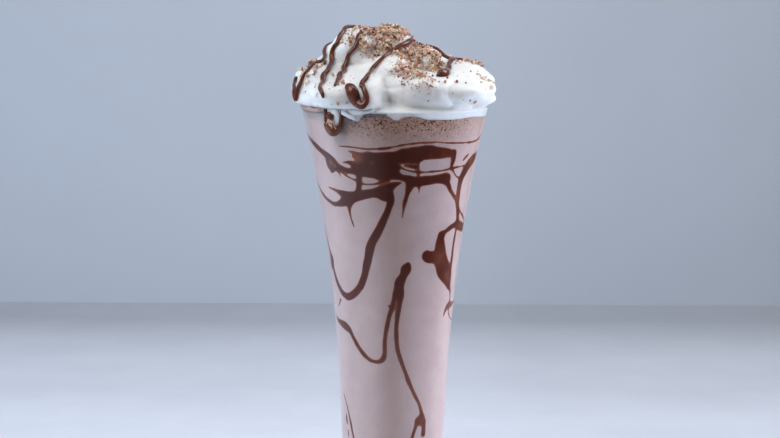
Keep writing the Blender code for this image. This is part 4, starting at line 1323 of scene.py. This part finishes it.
class MILKSHAKE_OT_crumbs(MilkshakeOperator, bpy.types.Operator):
    """Scatters the crumbs over the cream, one piece for each kind"""

    bl_idname = "milkshake.crumbs"
    bl_label = "Add crumbs"

    def execute(self, context):
        settings = context.scene.milkshake_crumbs
        random = np.random.default_rng(settings.seed)
        rays, crowding = crumb_places(random)
        on_top = len(rays)
        count = on_top + DRIP_CRUMBS[-1]
        small, large = settings.smallest / MM, settings.largest / MM
        sizes = np.clip(small + random.gamma(1.2, 0.5, count), small, large)
        sizes[on_top:] = np.minimum(sizes[on_top:], LARGEST_DRIP_CRUMB)
        pile = random.uniform(0, 0.9, on_top) * crowding
        mound = on_cream(rays, sizes[:on_top] * 0.22 + pile)
        centres = np.vstack([mound, drip_crumb_places(random, sizes[on_top:])])
        kind = random.choice(len(CRUMB_KINDS), size=count, p=[share for _, share, _, _ in CRUMB_KINDS])
        for number, (name, _, stops, roughness) in enumerate(CRUMB_KINDS):
            chosen = kind == number
            points, faces, tone = scatter(random, centres[chosen], sizes[chosen])
            material = crumb_material(f"{name}_crumb", stops, roughness)
            piece = make_piece(f"crumbs_{name}", points, [faces], material, False, {"tone": tone})
        return {"FINISHED"}


def plain_surface(name, stops, roughness, scale_mm, along=()):
    """A painted or plastered studio surface: matt, with a faint cloud at the given scale, and painted shade
    that darkens it to the right. Along is the painted shade along Y, and with it the surface is dark in front
    of the glass beyond a third of a metre. Only the side that it faces is painted: its back is clear, so the
    wall hides nothing."""
    material, tree = new_material(name)
    tone = mottled(tree, scale_mm, 6.0, 0.6, stops)[1], "Color"
    place = add_node(tree, "ShaderNodeTexCoord")
    way = add_node(tree, "ShaderNodeSeparateXYZ", links={"Vector": (place, "Object")})
    both = {"data_type": "RGBA", "blend_type": "MULTIPLY"}
    # Painted shade multiplies the colour: darker to the right along X, and on the floor toward the wall along
    # Y
    for axis, shades in (("X", SIDE_PAINTED_SHADE), ("Y", along)):
        if shades:
            near, far = shades[0][0], shades[-1][0]
            spread = {"From Min": near, "From Max": far}
            share = add_node(tree, "ShaderNodeMapRange", inputs=spread, links={"Value": (way, axis)})
            steps = [((at - near) / (far - near), shade) for at, shade in shades]
            fall = add_node(tree, "ShaderNodeValToRGB", links={"Fac": (share, "Result")}, stops=steps)
            ends = {"A": tone, "B": (fall, "Color")}
            tone = add_node(tree, "ShaderNodeMix", both, {"Factor": 1.0}, ends), "Result"
    if along:
        span = add_node(tree, "ShaderNodeVectorMath", {"operation": "LENGTH"}, links={0: (place, "Object")})
        falls = []
        for source, limits in zip(((span, "Value"), (way, "Y"), (way, "X")), DARK_LIMITS):
            fall = add_node(tree, "ShaderNodeMapRange", inputs=limits, links={"Value": source})
            falls.append((fall, "Result"))
        dark = falls[0]
        for fall in falls[1:]:
            factors = {0: dark, 1: fall}
            dark = add_node(tree, "ShaderNodeMath", {"operation": "MULTIPLY"}, links=factors), "Value"
        ends = {"Factor": dark, "A": tone}
        tone = add_node(tree, "ShaderNodeMix", both, {"B": linear("#6A6A6A")}, ends), "Result"
    form = {"Roughness": roughness, "Specular IOR Level": 0.3}
    paint = add_node(tree, "ShaderNodeBsdfPrincipled", inputs=form, links={"Base Color": tone})
    side = add_node(tree, "ShaderNodeNewGeometry")
    clear = add_node(tree, "ShaderNodeBsdfTransparent")
    ends = {"Fac": (side, "Backfacing"), 1: (paint, 0), 2: (clear, 0)}
    return finished(material, add_node(tree, "ShaderNodeMixShader", links=ends))


def stage_plane(name, corners, material):
    """A flat sheet of the studio with these four corners, in metres."""
    mesh = bpy.data.meshes.new(name)
    mesh.from_pydata(corners, [], [(0, 1, 2, 3)])
    mesh.materials.append(material)
    sheet = bpy.data.objects.new(name, mesh)
    bpy.context.scene.collection.objects.link(sheet)


def add_lamp(name, kind, place, aim_height, power, colour, mirrored, form):
    """A lamp at place, aimed at a height on the glass's axis, with the settings of its kind in form. One
    that isn't mirrored lights surfaces but doesn't show in the glass."""
    lamp = bpy.data.lights.new(name, kind)
    for setting, value in form.items():
        setattr(lamp, setting, value)
    lamp.energy = power
    lamp.color = linear(colour)[:3]
    stand = bpy.data.objects.new(name, lamp)
    stand.location = place
    stand.rotation_euler = (Vector((0, 0, aim_height)) - Vector(place)).to_track_quat("-Z", "Y").to_euler()
    stand.visible_glossy = mirrored
    bpy.context.scene.collection.objects.link(stand)


def add_camera():
    """The camera that matches the picture."""
    view = bpy.data.cameras.new("camera")
    view.sensor_width = SENSOR_MM
    view.lens = FOCAL_PIXELS / PICTURE_WIDTH * SENSOR_MM
    view.clip_end = 20
    eye = bpy.data.objects.new("camera", view)
    place = camera_matrix()
    place.translation *= MM
    eye.matrix_world = place
    bpy.context.scene.collection.objects.link(eye)
    bpy.context.scene.camera = eye


def room_light(settings):
    """A room that is even all round except for its darker side behind the camera. Its strength over
    directions (x, y, z) is room * (1 - 0.85 * (-y) to the fourth power), with y above 0 left out, + top * z
    above 0."""
    room = bpy.data.worlds.new("room_light")
    room.use_nodes = True
    tree = room.node_tree
    place = add_node(tree, "ShaderNodeTexCoord")
    way = add_node(tree, "ShaderNodeSeparateXYZ", links={"Vector": (place, "Generated")})
    facing = add_node(tree, "ShaderNodeMath", {"operation": "MINIMUM"}, {1: 0.0}, {0: (way, "Y")})
    fourth = add_node(tree, "ShaderNodeMath", {"operation": "POWER"}, {1: 4.0}, {0: (facing, "Value")})
    dimming = {1: -0.85 * settings.room_strength, 2: settings.room_strength}
    dimmed = add_node(tree, "ShaderNodeMath", {"operation": "MULTIPLY_ADD"}, dimming, {0: (fourth, "Value")})
    upward = add_node(tree, "ShaderNodeMath", {"operation": "MAXIMUM"}, {1: 0.0}, {0: (way, "Z")})
    ceiling = {1: settings.ceiling_strength}
    terms = {0: (upward, "Value"), 2: (dimmed, "Value")}
    total = add_node(tree, "ShaderNodeMath", {"operation": "MULTIPLY_ADD"}, ceiling, terms)
    background = tree.nodes["Background"]
    background.inputs["Color"].default_value = linear("#F2E9E6")
    tree.links.new(total.outputs["Value"], background.inputs["Strength"])
    bpy.context.scene.world = room


class MILKSHAKE_OT_stage(MilkshakeOperator, bpy.types.Operator):
    """Adds the floor, the backdrop, the lights and the camera"""

    bl_idname = "milkshake.stage"
    bl_label = "Add stage"

    def execute(self, context):
        settings = context.scene.milkshake_stage
        plaster = [(0.35, "#D8DDE9"), (0.65, "#DEE3EE")]
        # The floor's painted shade darkens it toward the wall
        floor = plain_surface("pale_plaster_floor", plaster, 0.6, 60.0, FLOOR_PAINTED_SHADE)
        wall = plain_surface("pale_blue_grey_wall", [(0.3, "#B6BAC2"), (0.7, "#BDC1C9")], 0.9, 400.0)
        left, right = -FLOOR_REACH, FLOOR_REACH
        corners = [(left, left, 0), (right, left, 0), (right, WALL_AT, 0), (left, WALL_AT, 0)]
        stage_plane("floor", corners, floor)
        foot = [(-WALL_HALF_WIDTH, WALL_AT, 0), (WALL_HALF_WIDTH, WALL_AT, 0)]
        stage_plane("wall", foot + [(x, y, WALL_HEIGHT) for x, y, _ in foot[::-1]], wall)
        for name, place, aim_height, size, setting, share, colour, mirrored in SOFT_BOXES:
            power = share * getattr(settings, setting)
            add_lamp(name, "AREA", place, aim_height, power, colour, mirrored, {"size": size})
        beam = {"spot_size": math.radians(5.6), "spot_blend": 0.6, "shadow_soft_size": 0.04}
        power, place = settings.snoot_power, (0.55, -0.75, 0.1)
        add_lamp("cream_snoot", "SPOT", place, 0.23, power, "#D2E2FF", False, beam)
        room_light(settings)
        add_camera()
        context.scene.view_settings.view_transform = "Standard"
        return {"FINISHED"}


class MILKSHAKE_PT_panel(bpy.types.Panel):
    """The pieces of the milkshake, in the order they are made"""

    bl_idname = "MILKSHAKE_PT_panel"
    bl_label = "Chocolate milkshake"
    bl_space_type = "VIEW_3D"
    bl_region_type = "UI"
    bl_category = "Milkshake"

    def draw(self, context):
        for group, operator in PANEL_ROWS:
            box = self.layout.box()
            settings = getattr(context.scene, group)
            for name in settings.bl_rna.properties.keys():
                if name not in ("rna_type", "name"):
                    box.prop(settings, name)
            box.operator(operator.bl_idname)


GROUPS = {
    "milkshake_glass": GlassSettings,
    "milkshake_drink": DrinkSettings,
    "milkshake_cream": CreamSettings,
    "milkshake_sauce": SauceSettings,
    "milkshake_crumbs": CrumbSettings,
    "milkshake_stage": StageSettings,
}
PANEL_ROWS = (
    ("milkshake_glass", MILKSHAKE_OT_glass),
    ("milkshake_drink", MILKSHAKE_OT_drink),
    ("milkshake_cream", MILKSHAKE_OT_cream),
    ("milkshake_sauce", MILKSHAKE_OT_streaks),
    ("milkshake_sauce", MILKSHAKE_OT_drizzle),
    ("milkshake_crumbs", MILKSHAKE_OT_crumbs),
    ("milkshake_stage", MILKSHAKE_OT_stage),
)
CLASSES = (*GROUPS.values(), *(operator for _, operator in PANEL_ROWS), MILKSHAKE_PT_panel)


def register():
    for kind in CLASSES:
        bpy.utils.register_class(kind)
    for name, group in GROUPS.items():
        setattr(bpy.types.Scene, name, PointerProperty(type=group))


def unregister():
    for name in GROUPS:
        delattr(bpy.types.Scene, name)
    for kind in reversed(CLASSES):
        bpy.utils.unregister_class(kind)


def main():
    register()
    bpy.ops.milkshake.glass()
    bpy.ops.milkshake.drink()
    bpy.ops.milkshake.cream()
    bpy.ops.milkshake.streaks()
    bpy.ops.milkshake.drizzle()
    bpy.ops.milkshake.crumbs()
    bpy.ops.milkshake.stage()


if __name__ == "__main__":
    main()
